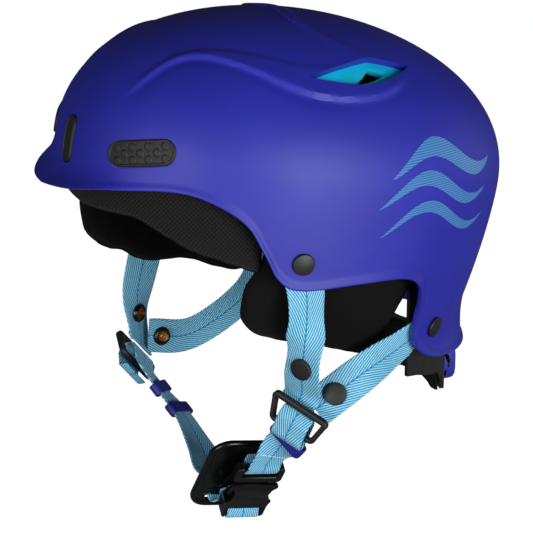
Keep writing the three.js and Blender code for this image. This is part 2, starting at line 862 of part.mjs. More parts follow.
// A rubber loop round the web at a share of its length, with room for the web to bend inside.
function keeper(web, share) {
  const { length, width, thick, slotWidth, slotThick } = KEEPER;
  const sleeve = cut(
    slab(CHIN_WEB + width, thick, 2.4, -length / 2, length / 2),
    slab(CHIN_WEB + slotWidth, slotThick, 1.2, -length, length),
  );
  return seat(sleeve.rotateX(Math.PI / 2), sectionAt(web, share));
}

function maleHalf() {
  const frame = slab(2 * BUCKLE_HALF_WIDTH + 1, 13.4, 3, -3.4, 3.4).translate(0, 15.5, 0);
  const slot = box(22, 5.6, 12, 0, 16.4, 0);
  const thinBar = [1, -1].map((z) => box(22, 6, 3.4, 0, 21.4, z * 3.4));
  const tongue = box(4.8, 22, 3.6, 0, -1.8, 0);
  return cut(join(frame, tongue), slot, ...thinBar);
}

// One spring prong, on the +x side: a slim arm with a button that shows in the side window.
function prong() {
  const outline = new THREE.Shape();
  outline.moveTo(6, 8.4);
  outline.lineTo(6, -6.5);
  outline.quadraticCurveTo(6.2, -9.5, 9, -9.5);
  outline.quadraticCurveTo(13.8, -8, 14, -2.5);
  outline.quadraticCurveTo(13.6, 1.5, 9.4, 2.6);
  outline.lineTo(9, 8.4);
  return prism(outline, -1.8, 1.8, 4);
}

function femaleHalf() {
  const outline = new THREE.Shape();
  const w = BUCKLE_HALF_WIDTH;
  outline.moveTo(-w + 1, 8.2);
  outline.lineTo(w - 1, 8.2);
  outline.lineTo(w, -6);
  outline.lineTo(w - 1.4, -13);
  outline.lineTo(w - 0.6, -22.5);
  outline.quadraticCurveTo(w - 1, -24.4, w - 3, -24.4);
  outline.lineTo(-w + 3, -24.4);
  outline.quadraticCurveTo(-w + 1, -24.4, -w + 0.6, -22.5);
  outline.lineTo(-w + 1.4, -13);
  outline.lineTo(-w, -6);
  const body = prism(outline, -BUCKLE_HALF_DEPTH, BUCKLE_HALF_DEPTH, 3);
  const cavity = box(21.6, 24, 5.2, 0, -1, 0);
  const windows = box(40, 22, 5.2, 0, 1, 0);
  const slot = box(22, 5.2, 12, 0, -18, 0);
  const thinBar = [1, -1].map((z) => box(22, 6, 3, 0, -23.6, z * 4));
  return cut(body, cavity, windows, slot, ...thinBar);
}

const femaleLoop = () =>
  seat(
    ribbon({
      line: [
        at(0, -9, -7.2),
        at(0, -17, -7),
        at(0, -23, -5.6),
        at(0, -26.2, 0),
        at(0, -23, 5),
        at(0, -18.1, 2.6),
        at(0, -17.7, -2.4),
      ],
      across: [at(1, 0, 0), at(1, 0, 0)],
      width: CHIN_WEB,
      steps: 22,
    }),
    BUCKLE,
  );

const GUARD = { width: 42, height: 62, x: -8, y: -1, low: -12, high: -9.4, slotY: -24 };

function guardPlate() {
  const { width, height, x, y, low, high, slotY } = GUARD;
  const plate = slab(width, height, 9, low, high).translate(x, y, 0);
  const slot = slab(25, 5.5, 1.6, low - 2, high + 2).translate(x, slotY, 0);
  return seat(cut(plate, slot), BUCKLE);
}

// ---- Nape cradle and its dial ----
function arcWall(radius, wall, halfAngle, low, high) {
  const outline = new THREE.Shape();
  const [from, to] = [deg(90 - halfAngle), deg(90 + halfAngle)];
  outline.absarc(0, 0, radius, from, to, false);
  outline.absarc(0, 0, radius - wall, to, from, true);
  return prism(outline, low, high, 14).translate(0, CRADLE_AXIS_Y, 0);
}

// The yoke: a low arc behind the head, with an arm up each side to its pivot stud.
const STUD = { angle: 68, z: -36, radius: 2 };
const ARM_ANGLE = [59, 77]; // the arms' edges, from the back
const studX = CRADLE_RADIUS * Math.sin(deg(STUD.angle));
const studY = CRADLE_AXIS_Y + CRADLE_RADIUS * Math.cos(deg(STUD.angle));

// The yoke dips behind the neck and rises to its arms. Angles are degrees from the back.
const yokeLow = (angle) =>
  -154 + 24 * smooth(Math.abs(angle), 24, 54) + 6 * smooth(Math.abs(angle), 54, 77);
const yokeHigh = (angle) => -124 + 24 * smooth(Math.abs(angle), 20, 58);

// An upright wall round the cradle's axis, between two edges that vary with the angle.
function cradleWall(radius, wall, halfAngle, low, high, steps = 24) {
  const rings = Array.from({ length: steps + 1 }, (_, i) => {
    const angle = halfAngle * ((2 * i) / steps - 1);
    const corner = (r, z) =>
      at(r * Math.sin(deg(angle)), CRADLE_AXIS_Y + r * Math.cos(deg(angle)), z);
    return [
      corner(radius - wall, low(angle)),
      corner(radius - wall, high(angle)),
      corner(radius, high(angle)),
      corner(radius, low(angle)),
    ];
  });
  return ringSolid(rings);
}

function napeCradle() {
  const yoke = cradleWall(CRADLE_RADIUS, CRADLE_WALL, ARM_ANGLE[1], yokeLow, yokeHigh);
  const arms = cut(
    arcWall(CRADLE_RADIUS - 0.02, CRADLE_WALL - 0.04, ARM_ANGLE[1] - 0.5, -108, STUD.z + 7),
    arcWall(CRADLE_RADIUS + 5, CRADLE_WALL + 12, ARM_ANGLE[0], -120, STUD.z + 20),
  );
  const bores = [1, -1].map((side) => studBore(side, -8, 8));
  const shaft = drum(2.4, -8, 8)
    .rotateX(Math.PI / 2)
    .translate(0, CRADLE_AXIS_Y + CRADLE_RADIUS, DIAL_HEIGHT);
  return cut(join(yoke, arms), ...bores, shaft);
}

// A stud pins the cradle's arm to the foam on each side, on one axis across the helmet.
const acrossAt = (geometry, side) =>
  geometry.rotateY((side * Math.PI) / 2).translate(side * studX, studY, STUD.z);

function studBore(side, low, high) {
  return acrossAt(drum(STUD.radius + 0.4, low, high), side);
}

const cradleStud = (side) =>
  acrossAt(
    turned([
      [0, -6.2],
      [4.4, -6.2],
      [4.4, -5],
      [STUD.radius, -5],
      [STUD.radius, 12],
      [0, 12],
    ]),
    side,
  );

const NAPE_PAD_END = 73;

function cradlePad() {
  const pad = cradleWall(
    CRADLE_RADIUS - CRADLE_WALL - 0.5,
    7,
    NAPE_PAD_END,
    (angle) => yokeLow(angle) - 1.5,
    (angle) => yokeHigh(angle) - 1,
    20,
  );
  const shaft = drum(7, -4, 4)
    .rotateX(Math.PI / 2)
    .translate(0, CRADLE_AXIS_Y + CRADLE_RADIUS - CRADLE_WALL - 2, DIAL_HEIGHT);
  return cut(pad, shaft);
}

// The dial's parts turn about y, and stand behind the cradle's wall.
const DIAL_Y = CRADLE_AXIS_Y + CRADLE_RADIUS;
const dialPart = (geometry) => geometry.rotateX(-Math.PI / 2).translate(0, DIAL_Y, DIAL_HEIGHT);

function dialHousing() {
  const body = slab(42, 27, 9, 0.4, 8.6);
  const bore = drum(PINION_RADIUS + 1.2, 2, 12);
  const floor = drum(2.6, -1, 6);
  const lanes = [1, -1].map((side) => {
    const level = DIAL_HEIGHT + side * BAND_LEVEL;
    return arcWall(BAND_RADIUS + 1.6, 6.6, 30, level - LANE_HALF_HEIGHT, level + LANE_HALF_HEIGHT);
  });
  return cut(dialPart(cut(body, bore, floor)), ...lanes);
}

function dialPinion() {
  const teeth = 10;
  const outline = new THREE.Shape();
  for (let i = 0; i < teeth; i++)
    [
      [PINION_RADIUS - 1, 0],
      [PINION_RADIUS + 0.6, 0.3],
      [PINION_RADIUS + 0.6, 0.6],
    ].forEach(([r, share]) => {
      const angle = ((i + share) / teeth) * 2 * Math.PI;
      const [x, y] = [r * Math.cos(angle), r * Math.sin(angle)];
      if (i || share) outline.lineTo(x, y);
      else outline.moveTo(x, y);
    });
  return dialPart(join(prism(outline, 2.6, 8), drum(2, -3, 10.5)));
}

function dialKnob() {
  const grips = 12;
  const outline = new THREE.Shape();
  for (let i = 0; i < 4 * grips; i++) {
    const angle = (i / (4 * grips)) * 2 * Math.PI;
    const r = DIAL_RADIUS - 0.9 * (i % 4 === 2 ? 1 : 0);
    if (i) outline.lineTo(r * Math.cos(angle), r * Math.sin(angle));
    else outline.moveTo(r, 0);
  }
  return dialPart(cut(prism(outline, 9, 15), drum(2.3, 8, 11.5)));
}

// A rack band runs from the housing round one side of the cradle.
function rackBand(side) {
  const level = DIAL_HEIGHT + side * BAND_LEVEL;
  const outline = new THREE.Shape();
  const [near, far] = [deg(90 - RACK_END), deg(102)];
  const [from, to] = side > 0 ? [near, far] : [Math.PI - far, Math.PI - near];
  outline.absarc(0, 0, BAND_RADIUS, from, to, false);
  outline.absarc(0, 0, BAND_RADIUS - 1.4, to, from, true);
  return prism(outline, level - BAND_HALF_HEIGHT, level + BAND_HALF_HEIGHT, 14).translate(
    0,
    CRADLE_AXIS_Y,
    0,
  );
}

// ---- Materials ----
const paint = (color, roughness, metalness = 0) =>
  new THREE.MeshStandardMaterial({ color, roughness, metalness });
const LOOKS = {
  shell: paint(0x3434a8, 0.42),
  foam: paint(0x101012, 0.95),
  fabric: paint(0x1a1a1c, 0.9),
  rubber: paint(0x141416, 0.7),
  cyan: paint(0x0fa3c7, 0.5),
  web: paint(0x56b4d8, 0.8),
  black: paint(0x0c0c0e, 0.35),
  brass: paint(0xa5762e, 0.3, 1),
  steel: paint(0x8d8f92, 0.3, 1),
  blue: paint(0x23238c, 0.55),
  grey: paint(0xb4b6b8, 0.5),
};

// ---- Assembly ----
const helmet = new THREE.Group();
helmet.position.set(0, -CROWN_BACK, -CROWN_FACE);

function add(name, look, geometry) {
  const mesh = new THREE.Mesh(geometry, LOOKS[look]);
  mesh.name = name;
  helmet.add(mesh);
}

add("outer_shell", "shell", outerShell());
add("foam_liner", "foam", foamLiner());
add("crown_pad", "fabric", crownPad());
add("brow_pad", "fabric", browPad());
add("temple_band", "fabric", templeBand());
add("ear_pad_left", "fabric", earPad(EAR_BOTTOM.left, 14));
add("ear_pad_right", "fabric", mirrored(earPad(EAR_BOTTOM.right, 18)));
add("front_plug", "rubber", plugBody(FRONT_PLUG));
add("rear_plug", "rubber", plugBody(REAR_PLUG));
const LEFT_PARTS = [
  ["vent_insert", "cyan", ventInsert()],
  ["temple_plug", "rubber", plugBody(TEMPLE_PLUG)],
  ["rivet_front", "black", strapRivet(RIVET_FRONT)],
  ["rivet_rear", "black", strapRivet(RIVET_REAR)],
  ["washer_front", "steel", rivetWasher(RIVET_FRONT)],
  ["washer_rear", "steel", rivetWasher(RIVET_REAR)],
];
for (const [name, look, geometry] of LEFT_PARTS) {
  add(name + "_left", look, geometry);
  add(name + "_right", look, mirrored(geometry));
}

const FRONT_DROP = {
  left: [
    [98.6, -35, -52],
    [96.5, -34, -78],
    [92.5, -34, -102],
  ],
  right: [
    [98, -40, -54],
    [95, -45, -78],
    [94, -52, -108],
  ],
};
const REAR_DROP = {
  left: [
    [89, 28, -99.5],
    [94.5, 4, -107.5],
  ],
  right: [
    [88, 22, -116],
    [92, -16, -138],
  ],
};
const KEEPER_SHARE = { left: 0.54, rightUpper: 0.4, rightLower: 0.51 };

for (const [name, harness] of Object.entries(HARNESS)) {
  const { side } = harness;
  const straps = {
    front: [frontStrap(harness, FRONT_DROP[name]), RIVET_FRONT],
    rear: [rearStrap(harness, REAR_DROP[name]), RIVET_REAR],
  };
  for (const [which, [strap, rivet]] of Object.entries(straps)) {
    const hole = sided(rivetHole(rivet, SHANK_HOLE), side);
    const place = snapFrame(strap, harness.snaps[which], side);
    const label = which + "_" + name;
    const pin = seat(drum(SHANK, -4, 4), place);
    add(which + "_strap_" + name, "web", cut(ribbon(strap), hole, pin));
    add("snap_cap_" + label, "black", seat(snapCap(), place));
    add("snap_socket_" + label, "brass", seat(snapSocket(), place));
  }
  add("divider_" + name, "black", seat(divider(), dividerFrame(harness)));
}

add("chin_web_left", "web", ribbon(leftWeb()));
add("chin_web_right", "web", ribbon(rightWeb()));
add("keeper_left", "blue", keeper(leftWeb(), KEEPER_SHARE.left));
add("keeper_right_upper", "blue", keeper(rightWeb(), KEEPER_SHARE.rightUpper));
add("keeper_right_lower", "blue", keeper(rightWeb(), KEEPER_SHARE.rightLower));
add("buckle_male", "black", seat(maleHalf(), BUCKLE));
add("buckle_prong_rear", "black", seat(prong(), BUCKLE));
add("buckle_prong_front", "black", seat(mirrored(prong()), BUCKLE));
add("buckle_female", "black", seat(femaleHalf(), BUCKLE));
add("buckle_web_loop", "web", femaleLoop());
add("guard_plate", "black", guardPlate());

add("nape_cradle", "black", napeCradle());
add("nape_pad", "fabric", cradlePad());
add("cradle_stud_left", "black", cradleStud(1));
add("cradle_stud_right", "black", cradleStud(-1));
add("dial_housing", "blue", dialHousing());
add("dial_pinion", "grey", dialPinion());
add("dial_knob", "grey", dialKnob());
add("rack_band_left", "black", rackBand(1));
add("rack_band_right", "black", rackBand(-1));

const part = new THREE.Group();
part.add(helmet);

export default part;
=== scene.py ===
import math

import bmesh
import bpy
import numpy as np
from mathutils import Matrix, Vector


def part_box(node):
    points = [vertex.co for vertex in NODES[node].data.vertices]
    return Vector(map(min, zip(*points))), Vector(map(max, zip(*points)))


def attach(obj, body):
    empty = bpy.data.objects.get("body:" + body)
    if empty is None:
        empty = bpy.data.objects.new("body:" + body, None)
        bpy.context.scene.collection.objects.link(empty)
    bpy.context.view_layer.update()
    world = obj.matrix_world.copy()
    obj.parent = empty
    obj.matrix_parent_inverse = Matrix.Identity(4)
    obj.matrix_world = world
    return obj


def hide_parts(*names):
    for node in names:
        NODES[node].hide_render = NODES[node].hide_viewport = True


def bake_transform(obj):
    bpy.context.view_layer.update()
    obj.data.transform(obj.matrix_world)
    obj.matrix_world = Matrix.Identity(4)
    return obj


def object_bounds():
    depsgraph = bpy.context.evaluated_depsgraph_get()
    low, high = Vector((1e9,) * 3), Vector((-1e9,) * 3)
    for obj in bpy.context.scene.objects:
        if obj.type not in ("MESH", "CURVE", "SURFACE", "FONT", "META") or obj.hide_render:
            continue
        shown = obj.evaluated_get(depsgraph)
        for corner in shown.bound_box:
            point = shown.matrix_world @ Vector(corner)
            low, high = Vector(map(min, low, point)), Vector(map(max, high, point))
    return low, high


# Lengths are millimetres from the dome's centre until a mesh is made, and metres after that.
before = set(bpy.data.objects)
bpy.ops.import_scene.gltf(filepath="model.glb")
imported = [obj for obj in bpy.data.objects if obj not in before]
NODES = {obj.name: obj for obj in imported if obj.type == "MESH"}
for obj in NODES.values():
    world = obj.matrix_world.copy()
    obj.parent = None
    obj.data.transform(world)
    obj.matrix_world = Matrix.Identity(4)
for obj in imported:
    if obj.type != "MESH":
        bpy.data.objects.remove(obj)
CAD_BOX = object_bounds()
MM = 0.001
DOME_CENTRE = np.array([0.0, -10.0, -54.0])  # the dome's centre in the part's frame

# ---- The dome and its lip, as the CAD shell has them ----
DOME_FRONT, DOME_BACK, DOME_SIDE, DOME_TOP = 135.5, 137.0, 110.0, 86.0
DOME_LEAN = math.radians(-10)
PLAN_POWER, CROWN_POWER = 2.04, 2.2
SHELL_WALL = 3.0
BRIM_FLARE, BRIM_SPAN, NAPE_FLARE, NAPE_SPAN = 12.0, 32.0, 13.0, 60.0
FLARE_RISE, NAPE_RISE = 14.0, 40.0  # the nape's flare starts this much higher than the brim's
LIP_ROLL = 1.3  # the lip turns out a little all the way round
LIP = np.array([
    (0, -24), (10, -21.5), (20, -16), (36, -9.5), (46, -12), (55, -21), (61, -36), (66, -49.5),
    (73, -54), (90, -48.5), (106, -45), (114, -50), (117, -64), (118.5, -82), (125, -93),
    (138, -97.5), (160, -96), (180, -92.5),
], float)
FOAM_EDGE, FOAM_LIP_GAP = -34.0, 4.0
STRAP_DEPTH = 5.4
WEB_WIDTH, CHIN_WIDTH, WEB_THICK = 22.0, 20.0, 1.6
RIVET_FRONT, RIVET_REAR = (72.0, -39.5), (128.5, -78.5)
SIDES = {"left": 1, "right": -1}


# ---------------------------------------------------------------- mesh helpers
def unit(v):
    v = np.asarray(v, float)
    return v / np.linalg.norm(v, axis=-1, keepdims=True)


def ease(value, start, end):
    t = np.clip((np.asarray(value, float) - start) / (end - start), 0, 1)
    return t * t * (3 - 2 * t)


def lerp(a, b, t):
    return a + (b - a) * t


def full_turn(steps):
    return np.linspace(0, 2 * np.pi, steps, endpoint=False)


def lengths_along(points):
    """The distance run at each point of a line."""
    return np.r_[0, np.cumsum(np.linalg.norm(np.diff(points, axis=0), axis=1))]


def quarter_round(share):
    """The height of a quarter circle at a share of the way in from its edge."""
    return np.sqrt(np.clip(1 - (1 - np.clip(share, 0, 1)) ** 2, 0, 1))


def added(name, data):
    obj = bpy.data.objects.new(name, data)
    bpy.context.scene.collection.objects.link(obj)
    return obj


def new_object(name, points, faces):
    """A mesh object from points in millimetres about the dome's centre."""
    mesh = bpy.data.meshes.new(name)
    mesh.from_pydata(((np.asarray(points) + DOME_CENTRE) * MM).tolist(), [], faces)
    mesh.update()
    mesh.validate()
    return added(name, mesh)


def coordinates(obj):
    """A mesh's vertices in metres, one row each."""
    points = np.empty(len(obj.data.vertices) * 3)
    obj.data.vertices.foreach_get("co", points)
    return points.reshape(-1, 3)


def paint(obj, material):
    obj.data.materials.clear()
    obj.data.materials.append(material)
    return obj


def smooth(obj, angle=35):
    obj.data.shade_smooth()
    obj.data.set_sharp_from_angle(angle=math.radians(angle))
    return obj


def face_out(obj):
    """Turns every face of a closed mesh outward."""
    bm = bmesh.new()
    bm.from_mesh(obj.data)
    bmesh.ops.recalc_face_normals(bm, faces=bm.faces)
    bm.to_mesh(obj.data)
    bm.free()
    return obj


def apply_modifiers(obj):
    bpy.context.view_layer.update()
    shape = bpy.data.meshes.new_from_object(obj.evaluated_get(bpy.context.evaluated_depsgraph_get()))
    obj.modifiers.clear()
    obj.data = shape
    return obj


def discard(*objects):
    for obj in objects:
        bpy.data.objects.remove(obj, do_unlink=True)


def boolean(obj, tool, operation="DIFFERENCE"):
    before = len(obj.data.vertices)
    for solver in ("MANIFOLD", "EXACT"):
        mod = obj.modifiers.new("boolean", "BOOLEAN")
        mod.operation, mod.object, mod.solver = operation, tool, solver
        shape = obj.data
        apply_modifiers(obj)
        if 0 < len(obj.data.vertices) != before:
            break
        obj.data = shape
    discard(tool)
    return obj


def bevel(obj, width, segments=3, angle=35):
    mod = obj.modifiers.new("bevel", "BEVEL")
    mod.width, mod.segments = width * MM, segments
    mod.limit_method, mod.angle_limit = "ANGLE", math.radians(angle)
    mod.use_clamp_overlap = True
    return apply_modifiers(obj)


def subdivide(obj, levels=1):
    mod = obj.modifiers.new("subdivision", "SUBSURF")
    mod.levels = mod.render_levels = levels
    return apply_modifiers(obj)


def joined(name, *objects):
    """One object from several, keeping their material slots apart."""
    bm = bmesh.new()
    materials = []
    for obj in objects:
        first = len(bm.faces)
        bm.from_mesh(obj.data)
        bm.faces.ensure_lookup_table()
        for slot_material in obj.data.materials:
            if slot_material not in materials:
                materials.append(slot_material)
        for face in bm.faces[first:]:
            if obj.data.materials:
                face.material_index = materials.index(obj.data.materials[face.material_index])
    mesh = bpy.data.meshes.new(name)
    bm.to_mesh(mesh)
    bm.free()
    for material in materials:
        mesh.materials.append(material)
    discard(*objects)
    return added(name, mesh)


def done(obj, body, material, slot, *nodes, angle=35):
    """Gives a finished piece its material and its body, and hides the CAD nodes it stands for. The
    slot is not used.
    """
    if material is not None:
        paint(obj, material)
    smooth(obj, angle)
    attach(obj, body)
    if nodes:
        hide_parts(*nodes)
    return obj


def grid_faces(rows, columns, wrap=False, first=0):
    width = columns if wrap else columns - 1
    return [
        (
            first + r * columns + c,
            first + (r + 1) * columns + c,
            first + (r + 1) * columns + (c + 1) % columns,
            first + r * columns + (c + 1) % columns,
        )
        for r in range(rows - 1)
        for c in range(width)
    ]


def sheet_solid(name, front, back, rows, columns):
    """A closed solid between two grids of points, and the vertices round their border."""
    count = rows * columns
    faces = grid_faces(rows, columns)
    faces += [tuple(reversed([count + i for i in face])) for face in faces]
    border = [r * columns for r in range(rows)]
    border += [(rows - 1) * columns + c for c in range(1, columns)]
    border += [r * columns + columns - 1 for r in range(rows - 2, -1, -1)]
    border += list(range(columns - 2, 0, -1))
    faces += [(a, b, count + b, count + a) for a, b in zip(border, border[1:] + border[:1])]
    return face_out(new_object(name, np.concatenate([front, back]), faces)), border


def tube_solid(name, rings):
    """A closed surface through rings of points, with both ends capped."""
    rings = np.asarray(rings, float)
    count, around = rings.shape[:2]
    faces = grid_faces(count, around, wrap=True)
    faces.append(tuple(range(around)))
    faces.append(tuple(reversed(range((count - 1) * around, count * around))))
    return face_out(new_object(name, rings.reshape(-1, 3), faces))


def loop_solid(name, rings):
    """A closed ring, like a torus, through sections of points."""
    rings = np.asarray(rings, float)
    count, around = rings.shape[:2]
    closed = np.concatenate([rings, rings[:1]])
    faces = [
        tuple(v % (count * around) for v in face)
        for face in grid_faces(count + 1, around, wrap=True)
    ]
    return face_out(new_object(name, closed[:-1].reshape(-1, 3), faces))


def seated(points, place):
    """Points in a place's own axes, moved to where it is. A place is (origin, x, y)."""
    origin, x, y = (np.asarray(v, float) for v in place)
    y = unit(y)
    z = unit(np.cross(x, y))
    return origin + np.asarray(points, float) @ np.array([np.cross(y, z), y, z])


def revolve(name, profile, place, segments=56):
    """A solid of revolution about a place's z axis, from [radius, height] pairs."""
    turn = full_turn(segments)
    rings = [
        np.stack([r * np.cos(turn), r * np.sin(turn), np.full(segments, z)], -1)
        for r, z in profile
    ]
    return tube_solid(name, [seated(ring, place) for ring in rings])


def arc_profile(radius, low, high, crown, edge):
    """The profile of a domed button: straight sides, a rounded edge and a crowned top."""
    points = [(0.3, low), (radius - edge * 0.5, low), (radius, low + edge * 0.5)]
    for a in np.linspace(0, math.pi / 2, 6):
        points.append((radius - edge + edge * math.cos(a), high - edge + edge * math.sin(a)))
    for r in np.linspace(radius - edge, 0.3, 9)[1:]:
        points.append((r, high + crown * (1 - (r / (radius - edge)) ** 2)))
    return points


def rounded_rectangle(width, height, radius, steps=8):
    """Points round a rectangle with round corners, anticlockwise."""
    corners = [(1, 1, 0), (-1, 1, 90), (-1, -1, 180), (1, -1, 270)]
    points = []
    for sx, sy, start in corners:
        centre = np.array([sx * (width / 2 - radius), sy * (height / 2 - radius)])
        for a in np.radians(np.linspace(start, start + 90, steps + 1)):
            points.append(centre + radius * np.array([math.cos(a), math.sin(a)]))
    return np.array(points)


def quadratic(start, control, end, steps=14):
    t = np.linspace(0, 1, steps, endpoint=False)[:, None]
    start, control, end = (np.asarray(p, float) for p in (start, control, end))
    return (1 - t) ** 2 * start + 2 * t * (1 - t) * control + t**2 * end


def prism(name, outline, low, high, place):
    """A flat outline given thickness along a place's z axis."""
    outline = np.asarray(outline, float)
    count = len(outline)
    points = np.concatenate([
        np.column_stack([outline, np.full(count, z)]) for z in (low, high)
    ])
    faces = [tuple(reversed(range(count))), tuple(range(count, 2 * count))]
    faces += [(i, (i + 1) % count, count + (i + 1) % count, count + i) for i in range(count)]
    return face_out(new_object(name, seated(points, place), faces))


def closed_path(points, spacing):
    """Evenly spaced points round a closed outline."""
    points = np.asarray(points, float)
    around = np.concatenate([points, points[:1]])
    steps = lengths_along(around)
    count = max(int(steps[-1] / spacing), 12)
    at = np.linspace(0, steps[-1], count, endpoint=False)
    return np.column_stack([np.interp(at, steps, around[:, i]) for i in range(points.shape[1])])


# ---------------------------------------------------------------- the dome
def lean(points):
    c, s = math.cos(DOME_LEAN), math.sin(DOME_LEAN)
    x, y, z = np.moveaxis(np.asarray(points, float), -1, 0)
    return np.stack([x, y * c - z * s, y * s + z * c], -1)


def dome(theta, height):
    """The outer surface. theta is degrees from the front, height is over the dome's centre."""
    theta, height = np.broadcast_arrays(np.asarray(theta, float), np.asarray(height, float))
    fx, fy = np.sin(np.radians(theta)), -np.cos(np.radians(theta))
    down = np.maximum(-height, 0)
    front, back = np.maximum(-fy, 0) ** 2, np.maximum(fy, 0) ** 2
    tuck = 0.055 * (down / 90) ** 2 * (1 - front - back)
    tuck = tuck + 0.237 * (down / 140) ** 1.61 * back + 0.03 * (down / 60) ** 2 * front
    up = np.clip(height, 0, DOME_TOP) / DOME_TOP
    rise = np.sqrt(np.maximum(1 - up**CROWN_POWER, 0))
    long_axis = np.where(fy < 0, DOME_FRONT, DOME_BACK)
    plan = (np.abs(fx) / DOME_SIDE) ** PLAN_POWER + (np.abs(fy) / long_axis) ** PLAN_POWER
    radius = rise * (1 - tuck) / plan ** (1 / PLAN_POWER)
    return lean(np.stack([radius * fx, radius * fy, height], -1))


def dome_normal(theta, height):
    height = np.minimum(height, DOME_TOP * 0.998)
    around = dome(np.asarray(theta) + 0.05, height) - dome(np.asarray(theta) - 0.05, height)
    return unit(np.cross(around, dome(theta, height + 0.02) - dome(theta, height - 0.02)))


def layer(theta, height, depth):
    return dome(theta, height) - dome_normal(theta, height) * np.asarray(depth, float)[..., None]


def hermite(start, end, leave, arrive, w):
    """A cubic from start to end with the given tangents, at w from 0 to 1."""
    cube, square = 2 * start - 2 * end + leave + arrive, -3 * start + 3 * end - 2 * leave - arrive
    return cube * w**3 + square * w**2 + leave * w + start


def catmull(points, t):
    """A uniform Catmull-Rom spline through points, at t from 0 to 1."""
    points = np.asarray(points, float)
    ends = np.concatenate([points[:1], points, points[-1:]])
    place = np.clip(np.asarray(t) * (len(points) - 1), 0, len(points) - 1 - 1e-9)
    i, w = place.astype(int), (place % 1)[:, None]
    p0, p1, p2, p3 = (ends[i + k] for k in range(4))
    return hermite(p1, p2, (p2 - p0) / 2, (p3 - p1) / 2, w)


LIP_CURVE = catmull(LIP, np.linspace(0, 1, 800))


def from_front(theta):
    """An angle from the front on either side, 0 to 180 degrees."""
    return np.abs((np.asarray(theta, float) + 540) % 360 - 180)


def lip_height(theta):
    return np.interp(from_front(theta), LIP_CURVE[:, 0], LIP_CURVE[:, 1])


def flare(theta, over):
    """How far the lip is turned outward, at heights over it."""
    angle = from_front(theta)
    brim = BRIM_FLARE * np.cos(np.radians(np.minimum(angle / BRIM_SPAN * 90, 90))) ** 2
    nape = np.cos(np.radians(np.minimum((180 - angle) / NAPE_SPAN * 90, 90)))
    rise = FLARE_RISE + NAPE_RISE * nape ** 3
    roll = LIP_ROLL * np.exp(-((over / 2.6) ** 2))
    return (brim + NAPE_FLARE * nape) * np.maximum(1 - over / rise, 0) ** 2 + roll


def flared(theta, height, depth):
    """The shell's surface with the brim and nape turned outward."""
    theta, height = np.broadcast_arrays(np.asarray(theta, float), np.asarray(height, float))
    away = flare(theta, height - lip_height(theta))
    outward = lean(np.stack(
        [np.sin(np.radians(theta)), -np.cos(np.radians(theta)), np.zeros_like(theta)], -1))
    return layer(theta, height, np.full(theta.shape, float(depth))) + outward * away[..., None]


def dome_place(theta, height, side=1):
    """The place of a feature on the dome: x round it, y up it, z outward."""
    normal = dome_normal(theta, height)
    up = unit(np.array([0, 0, 1.0]) - normal[2] * normal)
    origin, across = dome(theta, height), np.cross(up, normal)
    flip = np.array([side, 1, 1])
    return origin * flip, across * flip * side, up * flip


def section_heights(lowest, rows):
    """Heights from just under the crown to a lowest height, for each column."""
    lowest = np.asarray(lowest, float)[:, None]
    high = np.degrees(np.arccos(np.clip(lowest / DOME_TOP, 0, 1) ** (CROWN_POWER / 2)))
    foot = np.where(lowest > 0, high, 90 - lowest / DOME_TOP * 90)
    angle = foot * (np.arange(1, rows + 1) / rows) ** 0.9
    upper = DOME_TOP * np.maximum(np.cos(np.radians(np.minimum(angle, 90))), 0) ** (2 / CROWN_POWER)
    return np.where(angle < 90, upper, -(angle - 90) / 90 * DOME_TOP)


def bowl(name, theta, heights, outer, inner, rim=1.0, rim_steps=5):
    """A bowl between two faces, with a rounded rim. heights is (columns, rows) from the crown."""
    angle = np.broadcast_to(theta[:, None], heights.shape)
    outside, inside = outer(angle, heights), inner(angle, heights)
    ends = (outside[:, -1], inside[:, -1])
    middle, half = (ends[0] + ends[1]) / 2, (ends[0] - ends[1]) / 2
    below = unit(outside[:, -1] - outside[:, -2]) * np.linalg.norm(half, axis=1, keepdims=True)
    turns = np.linspace(0, np.pi, rim_steps + 2)[1:-1]
    edge = np.stack(
        [middle + half * math.cos(a) + below * math.sin(a) * rim for a in turns], 1)
    rows = np.concatenate([outside, edge, inside[:, ::-1]], 1).transpose(1, 0, 2)
    count, around = rows.shape[:2]
    crowns = [outer(np.array([0.0]), np.array([DOME_TOP]))[0],
              inner(np.array([0.0]), np.array([DOME_TOP]))[0]]
    points = np.concatenate([rows.reshape(-1, 3), crowns])
    faces = grid_faces(count, around, wrap=True)
    top, base = count * around, (count - 1) * around
    faces += [(top, i, (i + 1) % around) for i in range(around)]
    faces += [(top + 1, base + (i + 1) % around, base + i) for i in range(around)]
    return face_out(new_object(name, points, faces))


def lip_columns(spacing):
    """Angles round the dome, evenly spaced along the lip itself."""
    theta = np.linspace(0, 180, 2400)
    line = flared(theta, lip_height(theta), 0)
    steps = lengths_along(line)
    half = np.interp(np.linspace(0, steps[-1], int(steps[-1] / spacing)), steps, theta)
    return np.r_[half, 360 - half[-2:0:-1]]


